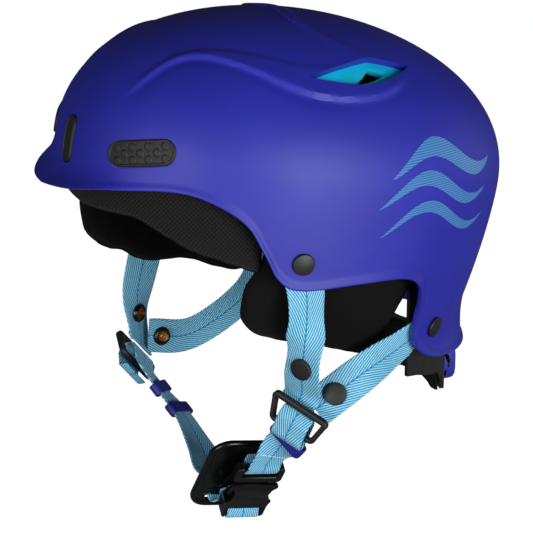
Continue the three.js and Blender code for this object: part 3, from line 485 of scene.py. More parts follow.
# ---------------------------------------------------------------- materials
class Nodes:
    """A small builder for a material's node tree."""

    def __init__(self, name):
        self.material = bpy.data.materials.new(name)
        self.material.use_nodes = True
        self.tree = self.material.node_tree
        self.shader = self.tree.nodes["Principled BSDF"]

    def node(self, kind, **inputs):
        made = self.tree.nodes.new("ShaderNode" + kind)
        for key, value in inputs.items():
            if hasattr(made, key) and key[0].islower():
                setattr(made, key, value)
            else:
                self.put(made, key.replace("_", " "), value)
        return made

    def put(self, node, key, value):
        socket = node.inputs[int(key) if key.isdigit() else key]
        if isinstance(value, bpy.types.NodeSocket):
            self.tree.links.new(value, socket)
        else:
            socket.default_value = value

    def set(self, **inputs):
        for key, value in inputs.items():
            self.put(self.shader, key.replace("_", " "), value)

    def math(self, operation, *values):
        made = self.tree.nodes.new("ShaderNodeMath")
        made.operation = operation
        for i, value in enumerate(values):
            self.put(made, str(i), value)
        return made.outputs[0]

    def where(self):
        return self.tree.nodes.new("ShaderNodeTexCoord").outputs["Object"]

    def noise(self, scale, detail=3.0):
        made = self.node("TexNoise", Scale=scale, Detail=detail, Roughness=0.5)
        self.put(made, "Vector", self.where())
        return made.outputs["Fac"]

    def ramp(self, factor, *stops):
        made = self.tree.nodes.new("ShaderNodeValToRGB")
        while len(made.color_ramp.elements) < len(stops):
            made.color_ramp.elements.new(0.5)
        for element, (position, color) in zip(made.color_ramp.elements, stops):
            element.position, element.color = position, (*color, 1)
        self.put(made, "Fac", factor)
        return made.outputs["Color"]

    def mix(self, factor, first, second):
        made = self.tree.nodes.new("ShaderNodeMix")
        made.data_type = "RGBA"
        for key, value in ((0, factor), (6, first), (7, second)):
            if isinstance(value, tuple):
                value = (*value, 1)
            self.put(made, str(key), value)
        return made.outputs[2]

    def bump(self, height, strength, distance):
        made = self.node("Bump", Height=height, Strength=strength, Distance=distance)
        return made.outputs["Normal"]

    def wave(self, value, pitch):
        """The cosine of a length, with one cycle each pitch."""
        return self.math("COSINE", self.math("MULTIPLY", value, 2 * math.pi / pitch))

    def split(self, vector):
        made = self.node("SeparateXYZ")
        self.put(made, "Vector", vector)
        return made.outputs


def srgb(r, g, b):
    """A linear colour from 0 to 255 display values."""
    return tuple(
        v / 12.92 if v <= 0.04045 else ((v + 0.055) / 1.055) ** 2.4
        for v in (r / 255, g / 255, b / 255)
    )


def shell_material():
    n = Nodes("shell_satin")
    drift = n.noise(18, 2)
    color = n.ramp(drift, (0.35, srgb(32, 36, 158)), (0.65, srgb(36, 41, 166)))
    grain = n.noise(2600, 2)
    n.set(Base_Color=color, Roughness=n.math("MULTIPLY_ADD", n.noise(60, 3), 0.08, 0.50))
    n.set(Normal=n.bump(grain, 0.10, 0.00012))
    n.set(Specular_IOR_Level=0.5)
    return n.material


def moulded_material(name, color, roughness=0.35, grain=0.12, scale=1400):
    """Moulded plastic: fine grain, faint flow marks and slightly uneven gloss."""
    n = Nodes(name)
    drift = n.noise(35, 2)
    pale = tuple(min(c * 1.35 + 0.002, 1) for c in color)
    n.set(Base_Color=n.ramp(drift, (0.35, color), (0.7, pale)))
    n.set(Roughness=n.math("MULTIPLY_ADD", n.noise(220, 3), 0.16, roughness - 0.08))
    n.set(Normal=n.bump(n.noise(scale, 3), grain, 0.00015))
    return n.material


def foam_material():
    n = Nodes("closed_cell_foam")
    cells = n.node("TexVoronoi", Scale=1500.0)
    n.put(cells, "Vector", n.where())
    n.set(Base_Color=n.ramp(cells.outputs["Distance"], (0.0, (0.0045,) * 3), (0.7, (0.009,) * 3)))
    n.set(Roughness=0.93, Normal=n.bump(cells.outputs["Distance"], 0.5, 0.0004))
    n.set(Specular_IOR_Level=0.2)
    return n.material


def mesh_fabric_material():
    """Knitted spacer mesh: staggered dimples over a fuzzy dark knit."""
    n = Nodes("spacer_mesh")
    x, y, z = n.split(n.where())
    round_axis = n.math("ARCTAN2", x, n.math("MULTIPLY", y, -1.0))
    pitch = 2 * math.pi * 0.105 / 0.0021
    u = n.math("MULTIPLY", round_axis, pitch)
    v = n.math("MULTIPLY", z, 2 * math.pi / 0.0026)
    dimple = n.math("ADD", n.math("COSINE", n.math("ADD", u, v)),
                    n.math("COSINE", n.math("SUBTRACT", u, v)))
    dimple = n.math("ADD", dimple, n.math("MULTIPLY", n.noise(4200, 2), 1.2))
    color = n.ramp(n.math("MULTIPLY_ADD", dimple, 0.25, 0.3),
                   (0.1, (0.0022,) * 3), (0.6, (0.0085,) * 3), (0.95, (0.016,) * 3))
    n.set(Base_Color=color, Roughness=0.86, Sheen_Weight=0.08, Sheen_Roughness=0.5)
    n.set(Sheen_Tint=(0.5, 0.5, 0.52, 1), Specular_IOR_Level=0.25)
    n.set(Normal=n.bump(dimple, 0.55, 0.0005))
    return n.material


def plush_material():
    """Smooth brushed lining fabric of the ear and nape pads."""
    n = Nodes("brushed_lining")
    fine = n.noise(5200, 3)
    n.set(Base_Color=n.ramp(fine, (0.3, (0.0016,) * 3), (0.75, (0.0055,) * 3)))
    n.set(Roughness=0.95, Sheen_Weight=0.02, Normal=n.bump(fine, 0.4, 0.0004))
    n.set(Specular_IOR_Level=0.15)
    return n.material


def webbing_material():
    """Herringbone webbing: ribs rise to the centre line, and u and v are millimetres."""
    n = Nodes("herringbone")
    u, v, _ = n.split(n.tree.nodes.new("ShaderNodeTexCoord").outputs["UV"])
    out = n.math("ABSOLUTE", u)
    phase = n.math("ADD", n.math("MULTIPLY", out, 2 * math.pi / RIB_ACROSS),
                   n.math("MULTIPLY", v, 2 * math.pi / RIB_ALONG))
    rib = n.math("MULTIPLY_ADD", n.math("COSINE", phase), 0.5, 0.5)
    pick = n.math("MULTIPLY_ADD", n.wave(v, 0.55), 0.5, 0.5)
    weave = n.math("MULTIPLY_ADD", pick, 0.18, n.math("MULTIPLY", rib, 0.82))
    fluff = n.math("MULTIPLY_ADD", n.noise(2600, 3), 0.22, -0.11)
    weave = n.math("ADD", weave, fluff)
    centre = n.math("SMOOTH_MIN", n.math("MULTIPLY", out, 1.6), 1.0, 0.2)
    weave = n.math("MULTIPLY", weave, centre)
    color = n.ramp(weave, (0.05, srgb(8, 112, 165)), (0.42, srgb(70, 178, 220)),
                   (0.9, srgb(176, 226, 243)))
    n.set(Base_Color=color, Roughness=0.62, Sheen_Weight=0.3, Sheen_Roughness=0.4)
    n.set(Sheen_Tint=(0.7, 0.9, 1.0, 1), Normal=n.bump(weave, 0.5, 0.0004))
    return n.material


def metal_material(name, color, roughness):
    n = Nodes(name)
    worn = n.noise(160, 4)
    n.set(Base_Color=n.ramp(worn, (0.3, tuple(c * 0.6 for c in color)), (0.7, color)))
    n.set(Metallic=1.0, Roughness=n.math("MULTIPLY_ADD", worn, 0.25, roughness - 0.1))
    n.set(Normal=n.bump(n.noise(900, 3), 0.08, 0.0001))
    return n.material


def stripe_material():
    """The side graphic: fine level stripes of pale blue that fade out downwards."""
    n = Nodes("striped_graphic")
    height = n.split(n.where())[2]
    line = n.node("MapRange", From_Min=-0.5, From_Max=0.35)
    n.put(line, "Value", n.wave(height, 0.00135))
    fade = n.node("MapRange", From_Min=-0.150, From_Max=-0.030, To_Min=0.25, To_Max=1.0)
    n.put(fade, "Value", height)
    paint = n.ramp(fade.outputs[0], (0.0, srgb(56, 74, 175)), (0.6, srgb(72, 138, 190)),
                   (1.0, srgb(76, 150, 192)))
    color = n.mix(line.outputs[0], srgb(60, 92, 182), paint)
    n.set(Base_Color=color, Roughness=0.42, Normal=n.bump(line.outputs[0], 0.15, 0.0001))
    return n.material


RIB_ACROSS, RIB_ALONG = 1.45, 3.4
SHELL = shell_material()
FOAM = foam_material()
MESH_FABRIC = mesh_fabric_material()
PLUSH = plush_material()
WEBBING = webbing_material()
RUBBER = moulded_material("matte_black_rubber", srgb(24, 24, 25), 0.62, 0.25, 2200)
BLACK = moulded_material("black_acetal", srgb(5, 5, 6), 0.24, 0.06)
BLACK_MATTE = moulded_material("black_cap", srgb(20, 20, 21), 0.5, 0.2, 2400)
CYAN = moulded_material("cyan_plastic", srgb(0, 196, 228), 0.5, 0.1)
BLUE_RUBBER = moulded_material("blue_rubber", srgb(22, 20, 120), 0.5, 0.2, 2200)
BLUE = moulded_material("blue_plastic", srgb(40, 40, 150), 0.45, 0.1)
GREY = moulded_material("pale_grey_plastic", srgb(176, 178, 180), 0.5, 0.1)
BRASS = metal_material("aged_brass", srgb(196, 132, 62), 0.3)
STEEL = metal_material("stainless_steel", srgb(150, 152, 155), 0.3)
STRIPES = stripe_material()
THREAD = moulded_material("sewing_thread", srgb(176, 214, 226), 0.7, 0.3, 3000)


# ---------------------------------------------------------------- shell
VENT_CENTRE = np.array([73.0, 12.0, 63.0])
VENT_TILT = math.radians(45)
VENT_DEPTH = 6.5


def vent_outline(grow):
    """The leaf-shaped vent: a tip at the front, and two corners at its back."""
    tip = (3.5 + grow * 0.4, -36 - 1.6 * grow)
    heel = (-4.9 - 0.2 * grow, 37 + 1.8 * grow)
    corner = (-9.6 - 1.2 * grow, 12)
    return np.concatenate([
        quadratic(tip, (13 + 1.2 * grow, -12), (12 + 1.2 * grow, 2)),
        quadratic((12 + 1.2 * grow, 2), (9.5 + grow, 20), heel),
        quadratic(heel, (-7.5 - grow, 22), corner),
        quadratic(corner, (-5.5 - grow, -4), tip),
    ])


def vent_hole():
    return np.concatenate([
        quadratic((-4.5, 9), (3, 4), (8, -7)),
        quadratic((8, -7), (8, 9), (-2, 22)),
    ])


def vent_place(side):
    c, s = math.cos(VENT_TILT), math.sin(VENT_TILT)
    flip = np.array([side, 1, 1])
    return VENT_CENTRE * flip, np.array([c, 0, -s]) * flip, np.array([0, 1.0, 0])


def vent_prism(outline, low, high, side):
    if side < 0:
        low, high = -high, -low
    return prism("tool", outline, low, high, vent_place(side))


def level_layer(depth):
    """A function for the dome's surface moved in by one depth."""
    return lambda theta, height: layer(theta, height, np.full(theta.shape, depth))


def dome_band(depth_out, depth_in):
    """The crown's part of the dome between two depths, as a closed bowl."""
    columns = 150
    theta = np.linspace(0, 360, columns, endpoint=False)
    heights = section_heights(np.full(columns, -12.0), 48)
    return bowl("band", theta, heights, level_layer(depth_out), level_layer(depth_in), rim=0.3)


def nearest_on(line, points):
    """For each point, its distance to a dense line of points and the nearest index."""
    distance = np.empty(len(points))
    index = np.empty(len(points), int)
    for i in range(0, len(points), 4000):
        gap = np.linalg.norm(points[i:i + 4000, None] - line[None], axis=2)
        index[i:i + 4000] = gap.argmin(1)
        distance[i:i + 4000] = gap.min(1)
    return distance, index


# The moulded ridge runs back over the temple and round the vent, between these two lines.
SWOOSH_LOW = [(14.5, 29), (16.2, 35), (18, 43), (20.3, 52), (24.6, 58), (31.5, 60.2), (40, 59.5),
              (49.5, 57.2), (60, 53), (71, 50.2), (84, 50.4), (96, 53.5), (107, 59), (117, 65)]
SWOOSH_HIGH = [(15.2, 31), (16.6, 40), (18.2, 50), (21.5, 59), (28, 63.4), (37, 65.2), (48, 65),
               (60, 64), (72, 64.6), (84, 67), (97, 71.5)]


def swoosh_step(line, points, width, fade_in, fade_out):
    """A soft step across a line on the dome, its fade at the ends and the distance from it."""
    guide = catmull(line, np.linspace(0, 1, 900))
    path = dome(guide[:, 0], guide[:, 1])
    along = unit(np.gradient(path, axis=0))
    upward = np.cross(dome_normal(guide[:, 0], guide[:, 1]), along)
    _, near = nearest_on(path, points)
    gap = points - path[near]
    run = (gap * along[near]).sum(1)
    offset = (gap * upward[near]).sum(1)
    length = lengths_along(path)
    place = length[near] + run
    fade = ease(place, 0, fade_in) * (1 - ease(place, length[-1] - fade_out, length[-1]))
    return ease(offset, -width, width), fade, offset


def shell_relief(points):
    """How far the moulded ridge stands out of the dome at each point."""
    lift = np.zeros(len(points))
    angle = np.degrees(np.arctan2(np.abs(points[:, 0]), -points[:, 1]))
    crown = (points[:, 2] > 12) & (angle > 6) & (angle < 132)
    side = points[crown] * np.where(points[crown, :1] < 0, np.array([[-1, 1, 1]]), 1)
    low, fade, offset = swoosh_step(SWOOSH_LOW, side, 1.8, 26, 30)
    high, fade_high, _ = swoosh_step(SWOOSH_HIGH, side, 3.0, 26, 26)
    crest = np.exp(-np.maximum(offset, 0) / 16.0)
    ridge = low * fade * np.maximum(crest, 0.55) * (1 - high * fade_high)
    groove = np.exp(-((offset + 2.6) / 3.4) ** 2) * fade
    lift[crown] = 1.9 * ridge - 0.55 * groove
    return lift


LEG_FRONT = 112.0  # the rear leg's front edge, with a raised bead along it, starts here


def lip_bead(theta, points):
    """The bead and groove along the rear leg's front edge."""
    angle = from_front(theta)
    guide = np.linspace(100, 150, 700)
    line = flared(guide, lip_height(guide), 0)
    side = np.column_stack([np.abs(points[:, 0]), points[:, 1:]])
    distance = np.full(len(points), 99.0)
    close = (angle > 98) & (angle < 152)
    distance[close], _ = nearest_on(line, side[close])
    mask = ease(angle, LEG_FRONT - 3, LEG_FRONT + 2) * (1 - ease(angle, 126, 140))
    bead = 1 - ease(distance, 3.2, 5.0)
    groove = np.exp(-((distance - 5.6) / 1.1) ** 2)
    return mask * (0.9 * bead - 0.55 * groove)


def outer_shell():
    theta = lip_columns(1.45)
    lips = lip_height(theta)
    upper = section_heights(lips + FLARE_RISE, 128)
    lower = lips[:, None] + FLARE_RISE * (1 - (np.arange(1, 15) / 14))[None]
    heights = np.concatenate([upper, lower], 1)

    def outside(angle, height):
        points = flared(angle, height, 0)
        flat, turn = points.reshape(-1, 3), angle.reshape(-1)
        lift = shell_relief(flat) + lip_bead(turn, flat)
        normal = dome_normal(turn, height.reshape(-1))
        return (flat + normal * lift[:, None]).reshape(points.shape)

    shell = bowl("helmet_shell", theta, heights, outside, lambda t, h: flared(t, h, SHELL_WALL),
                 rim=0.8, rim_steps=7)
    for side in (1, -1):
        ring = boolean(vent_prism(vent_outline(2.2), -30, 30, side),
                       vent_prism(vent_outline(0), -31, 31, side))
        boolean(ring, dome_band(1.6, VENT_DEPTH + 1.5), "INTERSECT")
        boolean(shell, ring, "UNION")
        boolean(shell, vent_prism(vent_outline(0), -30, 30, side))
        boolean(shell, plug_tool(TEMPLE_PLUG, side, 0.35))
        for place in (RIVET_FRONT, RIVET_REAR):
            boolean(shell, revolve("hole", [(2.8, -14), (2.8, 6)], dome_place(*place, side), 32))
    boolean(shell, plug_tool(FRONT_PLUG, 1, 0.35))
    boolean(shell, plug_tool(REAR_PLUG, 1, 0.35))
    return done(shell, "shell", SHELL, "shell_plastic", "outer_shell", angle=28)


# ---------------------------------------------------------------- plugs
TEMPLE_PLUG = {"theta": 25.5, "height": 6.5, "size": (43, 15), "tilt": 8}
FRONT_PLUG = {"theta": 0, "height": 1.5, "size": (12, 27), "tilt": 0}
REAR_PLUG = {"theta": 180, "height": -40, "size": (40, 18), "tilt": 0}


def stadium(width, tall, steps=10):
    radius = min(width, tall) / 2 - 0.6
    return rounded_rectangle(width, tall, radius, steps)


def turned_by(points, degrees):
    c, s = math.cos(math.radians(degrees)), math.sin(math.radians(degrees))
    return np.asarray(points) @ np.array([[c, s], [-s, c]])


def plug_tool(plug, side, grow):
    width, tall = plug["size"]
    outline = turned_by(stadium(width + 2 * grow, tall + 2 * grow), plug["tilt"] * side)
    return prism("tool", outline, -2.0, 14, dome_place(plug["theta"], plug["height"], side))


def on_dome(plug, side, flat, lift):
    """Points of a plug's own flat drawing, laid on the dome and lifted off it."""
    theta, height = plug["theta"], plug["height"]
    step_theta = dome(theta + 0.5, height) - dome(theta - 0.5, height)
    step_height = dome(theta, height + 0.5) - dome(theta, height - 0.5)
    _, x, y = dome_place(theta, height)
    turned = turned_by(flat, plug["tilt"])
    basis = np.array([[step_theta @ x, step_theta @ y], [step_height @ x, step_height @ y]])
    along = turned @ np.linalg.inv(basis)
    points = layer(theta + along[:, 0], height + along[:, 1], -np.asarray(lift))
    return points * np.array([side, 1, 1])


def plug_piece(name, plug, side, dots=()):
    """A rubber plug: a rounded pad with a raised border, and round studs where it has dots."""
    width, tall = plug["size"]
    radius = min(width, tall) / 2
    flat_half = abs(width - tall) / 2
    rows, columns = 52, 110 if tall > width else 130
    swing = np.linspace(-90, 90, rows)
    v = radius * np.sin(np.radians(swing))
    reach = flat_half + np.sqrt(np.maximum(radius**2 - v**2, 0)) + 1e-4
    spread = np.sin(np.radians(np.linspace(-90, 90, columns)))
    spread = 0.35 * spread + 0.65 * np.linspace(-1, 1, columns)
    u = reach[:, None] * spread[None]
    v = np.broadcast_to(v[:, None], u.shape)
    edge = radius - np.hypot(np.maximum(np.abs(u) - flat_half, 0), v)
    lift = -1.6 + 2.7 * quarter_round(edge / 1.1)
    lift = lift - 0.5 * ease(edge, 1.5, 2.1)
    for du, dv in dots:
        gap = np.hypot(u - du, v - dv)
        lift = lift + 0.5 * (1 - ease(gap, 1.7, 2.3)) - 0.16 * np.exp(-((gap - 2.5) / 0.3) ** 2)
    flat = np.stack([u, v] if width >= tall else [v, u], -1).reshape(-1, 2)
    top = on_dome(plug, side, flat, lift.reshape(-1))
    base = on_dome(plug, side, flat, np.full(len(flat), -1.75))
    return sheet_solid(name, top, base, rows, columns)[0]


def dot_places():
    """Studs in rows of four, three and four, staggered."""
    outer = [(u, v) for v in (-3.5, 3.5) for u in np.linspace(-15, 15, 4)]
    return outer + [(u, 0.0) for u in (-10, 0.0, 10)]


def plugs():
    for label, side in SIDES.items():
        studded = plug_piece("temple_stud_pad_" + label, TEMPLE_PLUG, side, dot_places())
        done(studded, "shell", RUBBER, "black_rubber", "temple_plug_" + label)
    for label, plug in (("front", FRONT_PLUG), ("rear", REAR_PLUG)):
        blank = plug_piece(label + "_blank_plug", plug, 1)
        done(blank, "shell", RUBBER, "black_rubber", label + "_plug")


def vent_inserts():
    for label, side in SIDES.items():
        floor = boolean(vent_prism(vent_outline(1.6), -30, 30, side),
                        dome_band(VENT_DEPTH - 1.6, VENT_DEPTH + 3), "INTERSECT")
        boolean(floor, vent_prism(vent_hole(), -31, 31, side))
        bevel(floor, 0.5, 2, 50)
        done(floor, "shell", CYAN, "cyan_plastic", "vent_insert_" + label, angle=40)


# ---------------------------------------------------------------- side graphic
def wave_band(side, rise, start, end, thick):
    """One band of the generic wave graphic: a lens that undulates round the dome."""
    steps, rows = 90, 7
    share = np.linspace(0, 1, steps)
    theta = start + (end - start) * share
    middle = rise + 9.0 * np.sin(share * 2 * np.pi - 0.6) + 12 * share
    half = thick * np.sin(np.pi * np.clip(share, 0.004, 0.996)) ** 0.75 / 2
    across = np.linspace(-1, 1, rows)
    height = middle[:, None] + half[:, None] * across[None]
    angle = np.broadcast_to(theta[:, None], height.shape).reshape(-1)
    height = height.reshape(-1)
    flat = dome(angle, height)
    relief = shell_relief(flat) + lip_bead(angle, flat)
    front, back = (
        layer(angle, height, -(relief + lift)) * np.array([side, 1, 1]) for lift in (0.16, 0.02)
    )
    return sheet_solid("band", front, back, steps, rows)[0]


# Each band's rise, first and last angle, and greatest width.
WAVES = [(16, 96, 140, 11), (-1, 93, 137, 9), (-17, 95, 138, 7)]


def side_graphics():
    for label, side in SIDES.items():
        bands = [wave_band(side, *spec) for spec in WAVES]
        done(joined("wave_graphic_" + label, *bands), "shell", STRIPES, "cyan_plastic")


# ---------------------------------------------------------------- curves and webbing
def catmull_centripetal(points, t):
    """A centripetal Catmull-Rom spline, which holds its shape between uneven points."""
    points = np.asarray(points, float)
    ends = np.concatenate([[2 * points[0] - points[1]], points, [2 * points[-1] - points[-2]]])
    place = np.clip(np.asarray(t, float) * (len(points) - 1), 0, len(points) - 1 - 1e-9)
    i, w = place.astype(int), (place % 1)[:, None]
    p0, p1, p2, p3 = (ends[i + k] for k in range(4))

    def span(a, b):
        return np.maximum((((b - a) ** 2).sum(1) ** 0.25)[:, None], 1e-12)

    d1 = span(p1, p2)
    d1 = np.where(d1 < 1e-4, 1.0, d1)
    d0, d2 = span(p0, p1), span(p2, p3)
    d0, d2 = np.where(d0 < 1e-4, d1, d0), np.where(d2 < 1e-4, d1, d2)
    v0 = ((p1 - p0) / d0 - (p2 - p0) / (d0 + d1) + (p2 - p1) / d1) * d1
    v1 = ((p2 - p1) / d1 - (p3 - p1) / (d1 + d2) + (p3 - p2) / d2) * d1
    return hermite(p1, p2, v0, v1, w)


class Strap:
    """A strap's centre line and the way its width lies along it."""

    def __init__(self, line, across, width=WEB_WIDTH):
        self.line, self.across, self.width = np.asarray(line, float), across, width
        t = np.linspace(0, 1, 1500)
        points = catmull_centripetal(self.line, t)
        self.t, self.steps = t, lengths_along(points)
        self.length = self.steps[-1]

    def sections(self, share):
        share = np.atleast_1d(np.asarray(share, float))
        t = np.interp(share * self.length, self.steps, self.t)
        origin = catmull_centripetal(self.line, t)
        ahead = catmull_centripetal(self.line, np.minimum(t + 1e-4, 1))
        behind = catmull_centripetal(self.line, np.maximum(t - 1e-4, 0))
        along = unit(ahead - behind)
        wide = catmull_centripetal(self.across, share)
        wide = unit(wide - (wide * along).sum(1, keepdims=True) * along)
        return origin, wide, along

    def place(self, share, side=0):
        origin, wide, along = (v[0] for v in self.sections(share))
        if side and np.cross(wide, along)[0] * side < 0:
            wide = -wide
        return origin, wide, along


def ribbed(u, v):
    """The webbing's ribs: how far its face stands out at u across and v along."""
    return 0.09 * np.cos(2 * np.pi * (np.abs(u) / RIB_ACROSS + v / RIB_ALONG))


def webbing(name, strap):
    """A strap with ribbed faces and round edges, and millimetres as its UVs."""
    count = int(strap.length / 0.55) + 1
    share = np.linspace(0, 1, count)
    origin, wide, along = strap.sections(share)
    face = np.cross(wide, along)
    half = strap.width / 2
    across = np.linspace(-half + 0.7, half - 0.7, 44)
    v = share * strap.length
    grown = WEB_THICK / 2 - 0.1
    rings, us = [], []
    front = [(u, grown + ribbed(u, v)) for u in across]
    back = [(u, -grown - ribbed(u, v + 0.5 * RIB_ALONG)) for u in across[::-1]]
    tooth = 0.16 * np.cos(2 * np.pi * v / 1.6)
    shoulder = half - 0.16 + tooth
    right = [(shoulder, grown * 0.55), (half + tooth, 0 * v), (shoulder, -grown * 0.55)]
    left = [(-a, -b) for a, b in right]
    for a, b in [*front, *right, *back, *left]:
        a, b = np.broadcast_to(a, v.shape), np.broadcast_to(b, v.shape)
        rings.append(origin + wide * a[:, None] + face * b[:, None])
        us.append(a)
    obj = tube_solid(name, np.stack(rings, 1))
    across = np.stack(us, 1)
    uv = np.stack([across, np.broadcast_to(v[:, None], across.shape)], -1).reshape(-1, 2)
    index = np.empty(len(obj.data.loops), int)
    obj.data.loops.foreach_get("vertex_index", index)
    obj.data.uv_layers.new(name="UVMap").data.foreach_set("uv", uv[index].reshape(-1))
    return paint(obj, WEBBING)


def divider_place(side, centre, swing, tilt, turn):
    s, t, w = math.radians(swing), math.radians(tilt), -side * math.radians(turn)
    faced = np.array([[math.cos(w), -math.sin(w), 0], [math.sin(w), math.cos(w), 0], [0, 0, 1]])
    return (
        np.array([side * centre[0], centre[1], centre[2]]),
        faced @ np.array([0, math.cos(s), -math.sin(s)]) * side,
        faced @ np.array([side * math.sin(t), math.sin(s) * math.cos(t), math.cos(s) * math.cos(t)]),
    )


HARNESS = {
    "left": {
        "side": 1, "ring": divider_place(1, (86, -34, -131.4), 24, 2, 55),
        "end": (5, -2, -10), "lay": (-0.5, -0.4, 0.75), "behind": (-5, 6.6),
        "flat": 1, "snaps": {"front": 0.72, "rear": 0.85},
        "front": [(98.6, -35, -52), (96.5, -34, -78), (92.5, -34, -102)],
        "rear": [(89, 28, -99.5), (94.5, 4, -107.5)],
    },
    "right": {
        "side": -1, "ring": divider_place(-1, (86, -57, -145.5), 50, 62, 0),
        "end": (-2, 3, -12), "lay": (0, -0.55, 0.8), "behind": (-2, 5.3),
        "flat": 2, "snaps": {"front": 0.8, "rear": 0.93},
        "front": [(98, -40, -54), (95, -45, -78), (94, -52, -108)],
        "rear": [(88, 22, -116), (92, -16, -138)],
    },
}
RING_TOP, RING_FOOT, RING_HEIGHT, RING_BAR = 38.0, 30.0, 19.0, 1.9
BAR_TOP = RING_HEIGHT / 2 - 1.7
FOOT_BAR = -RING_HEIGHT / 2 + RING_BAR


def strap_point(theta, height, side):
    return layer(theta, height, STRAP_DEPTH) * np.array([side, 1, 1])


def in_place(place, x, y, z):
    return seated([(x, y, z)], place)[0]


def place_axis(place, x, y, z):
    return in_place(place, x, y, z) - place[0]


def handed(side, points):
    return [np.array([side * x, y, z]) for x, y, z in points]


def front_strap(h):
    side, ring = h["side"], h["ring"]
    theta, height = RIVET_FRONT
    flip = np.array([side, 1, 1])
    lying = dome_place(theta, height)[1] * flip
    flat = np.array([0, 1.0, 0])
    face = place_axis(ring, 0, 0, 1)
    on_ring = flat - (flat @ face) * face
    line = [
        strap_point(theta, height + 9, side), strap_point(theta, height, side),
        *handed(side, h["front"]),
        *(in_place(ring, h["behind"][0] * side, BAR_TOP + up, -h["behind"][1]) for up in (4, -1.5)),
    ]
    level = h["flat"]
    return Strap(line, [lying, lying, *[flat] * level, *[on_ring] * (4 - level)])


def rear_strap(h):
    side = h["side"]
    theta, height = RIVET_REAR
    held = dome_place(theta, height)[2] * np.array([side, 1, 1])
    line = [
        strap_point(theta + 5, height + 5, side), strap_point(theta, height, side),
        strap_point(theta - 6, height - 7.5, side),
        *handed(side, h["rear"]),
        in_place(h["ring"], h["end"][0] * side, BAR_TOP + h["end"][1], h["end"][2]),
    ]
    lay = h["lay"] * np.array([side, 1, 1])
    return Strap(line, [held, held, np.array([0, -0.5, 0.85]), lay, lay])


BUCKLE = (
    np.array([40, -39.6, -189.8]), np.array([0.122, 0.984, -0.131]), np.array([0.559, 0.041, 0.829]),
)


def foot_turn(ring, loose):
    """The web's turn round the ring's foot bar, from its inner side to its tucked end."""
    return [in_place(ring, 0, FOOT_BAR + y, z) for y, z in (
        (-6, -4.6 - loose), (0, -4.4 - loose), (8, -3.8 - loose), (12, 0), (8, 3.8 + loose),
        (0, 4.2 + loose), (-5, 4 + loose), (-8, 1.2))]


def left_web():
    ring = HARNESS["left"]["ring"]
    bar = place_axis(ring, 1, 0, 0)
    start = [in_place(BUCKLE, 0, y, z)
             for y, z in ((28, -3.3), (22, -3.9), (15.7, 0), (22, 3.9), (28, 3.3))]
    line = [*start, np.array([68.5, -36.5, -155.5]), *foot_turn(ring, 0)]
    across = BUCKLE[1]
    return Strap(line, [across, across, across, bar, bar, bar, bar], CHIN_WIDTH)


def right_web():
    ring = HARNESS["right"]["ring"]
    bar = place_axis(ring, -1, 0, 0)
    line = [
        *foot_turn(ring, 1.6)[::-1],
        np.array([-62, -51, -159.5]), np.array([-49, -43, -172.5]),
        np.array([-22, -42, -187]), np.array([0, -46, -193]),
        in_place(BUCKLE, -6, -10, -14.6),
    ]
    twist = [np.array([-0.8, 0.56, -0.2]), np.array([-0.5, 0.85, -0.25])]
    return Strap(line, [bar, bar, *twist, BUCKLE[1], BUCKLE[1]], CHIN_WIDTH)


def ring_section(half_width, half_thick, power, steps=20):
    turn = full_turn(steps)
    c, s = np.cos(turn), np.sin(turn)
    round_off = (np.abs(c) ** power + np.abs(s) ** power) ** (-1 / power)
    return np.stack([half_width * c * round_off, half_thick * s * round_off], -1)


def swept_loop(name, path, place, section):
    """A closed path in a place's x and y, with section(point) as [outward, along z] pairs."""
    count = len(path)
    ahead, behind = np.roll(path, -1, 0), np.roll(path, 1, 0)
    along = unit(ahead - behind)
    outward = np.stack([along[:, 1], -along[:, 0]], -1)
    if np.sum(outward * (path - path.mean(0))) < 0:
        outward = -outward
    rings = []
    for i in range(count):
        out, up = section(path[i]).T
        flat = path[i] + out[:, None] * outward[i]
        rings.append(seated(np.column_stack([flat, up]), place))
    return loop_solid(name, rings)


def divider_ring(label, h):
    """A tri-glide ring: a wide flat top bar, slimmer sides and a round foot bar."""
    top, foot, high = RING_TOP / 2 - 1.7, RING_FOOT / 2 - 1.5, RING_HEIGHT / 2
    corners = [(-top, high - 1.7), (top, high - 1.7), (foot, FOOT_BAR), (-foot, FOOT_BAR)]
    path = []
    for i, corner in enumerate(corners):
        corner = np.array(corner)
        to_last = unit(np.array(corners[i - 1]) - corner)
        to_next = unit(np.array(corners[(i + 1) % 4]) - corner)
        path.append(quadratic(corner + 2.2 * to_last, corner, corner + 2.2 * to_next, 8))
        path.append([corner + 2.2 * to_next])
    path = closed_path(np.concatenate(path), 0.9)

    def section(point):
        low = ease(-point[1], -FOOT_BAR - 3.0, -FOOT_BAR - 0.6)
        width = 1.55 + 0.3 * ease(point[1], 4.5, 6.5) + 0.35 * low
        return ring_section(width, 2.0 - 0.1 * low, 4.5 - 2.3 * low)

    ring = swept_loop("webbing_divider_" + label, path, h["ring"], section)
    return done(ring, "harness_" + label, BLACK_MATTE, "black_plastic", "divider_" + label, angle=50)


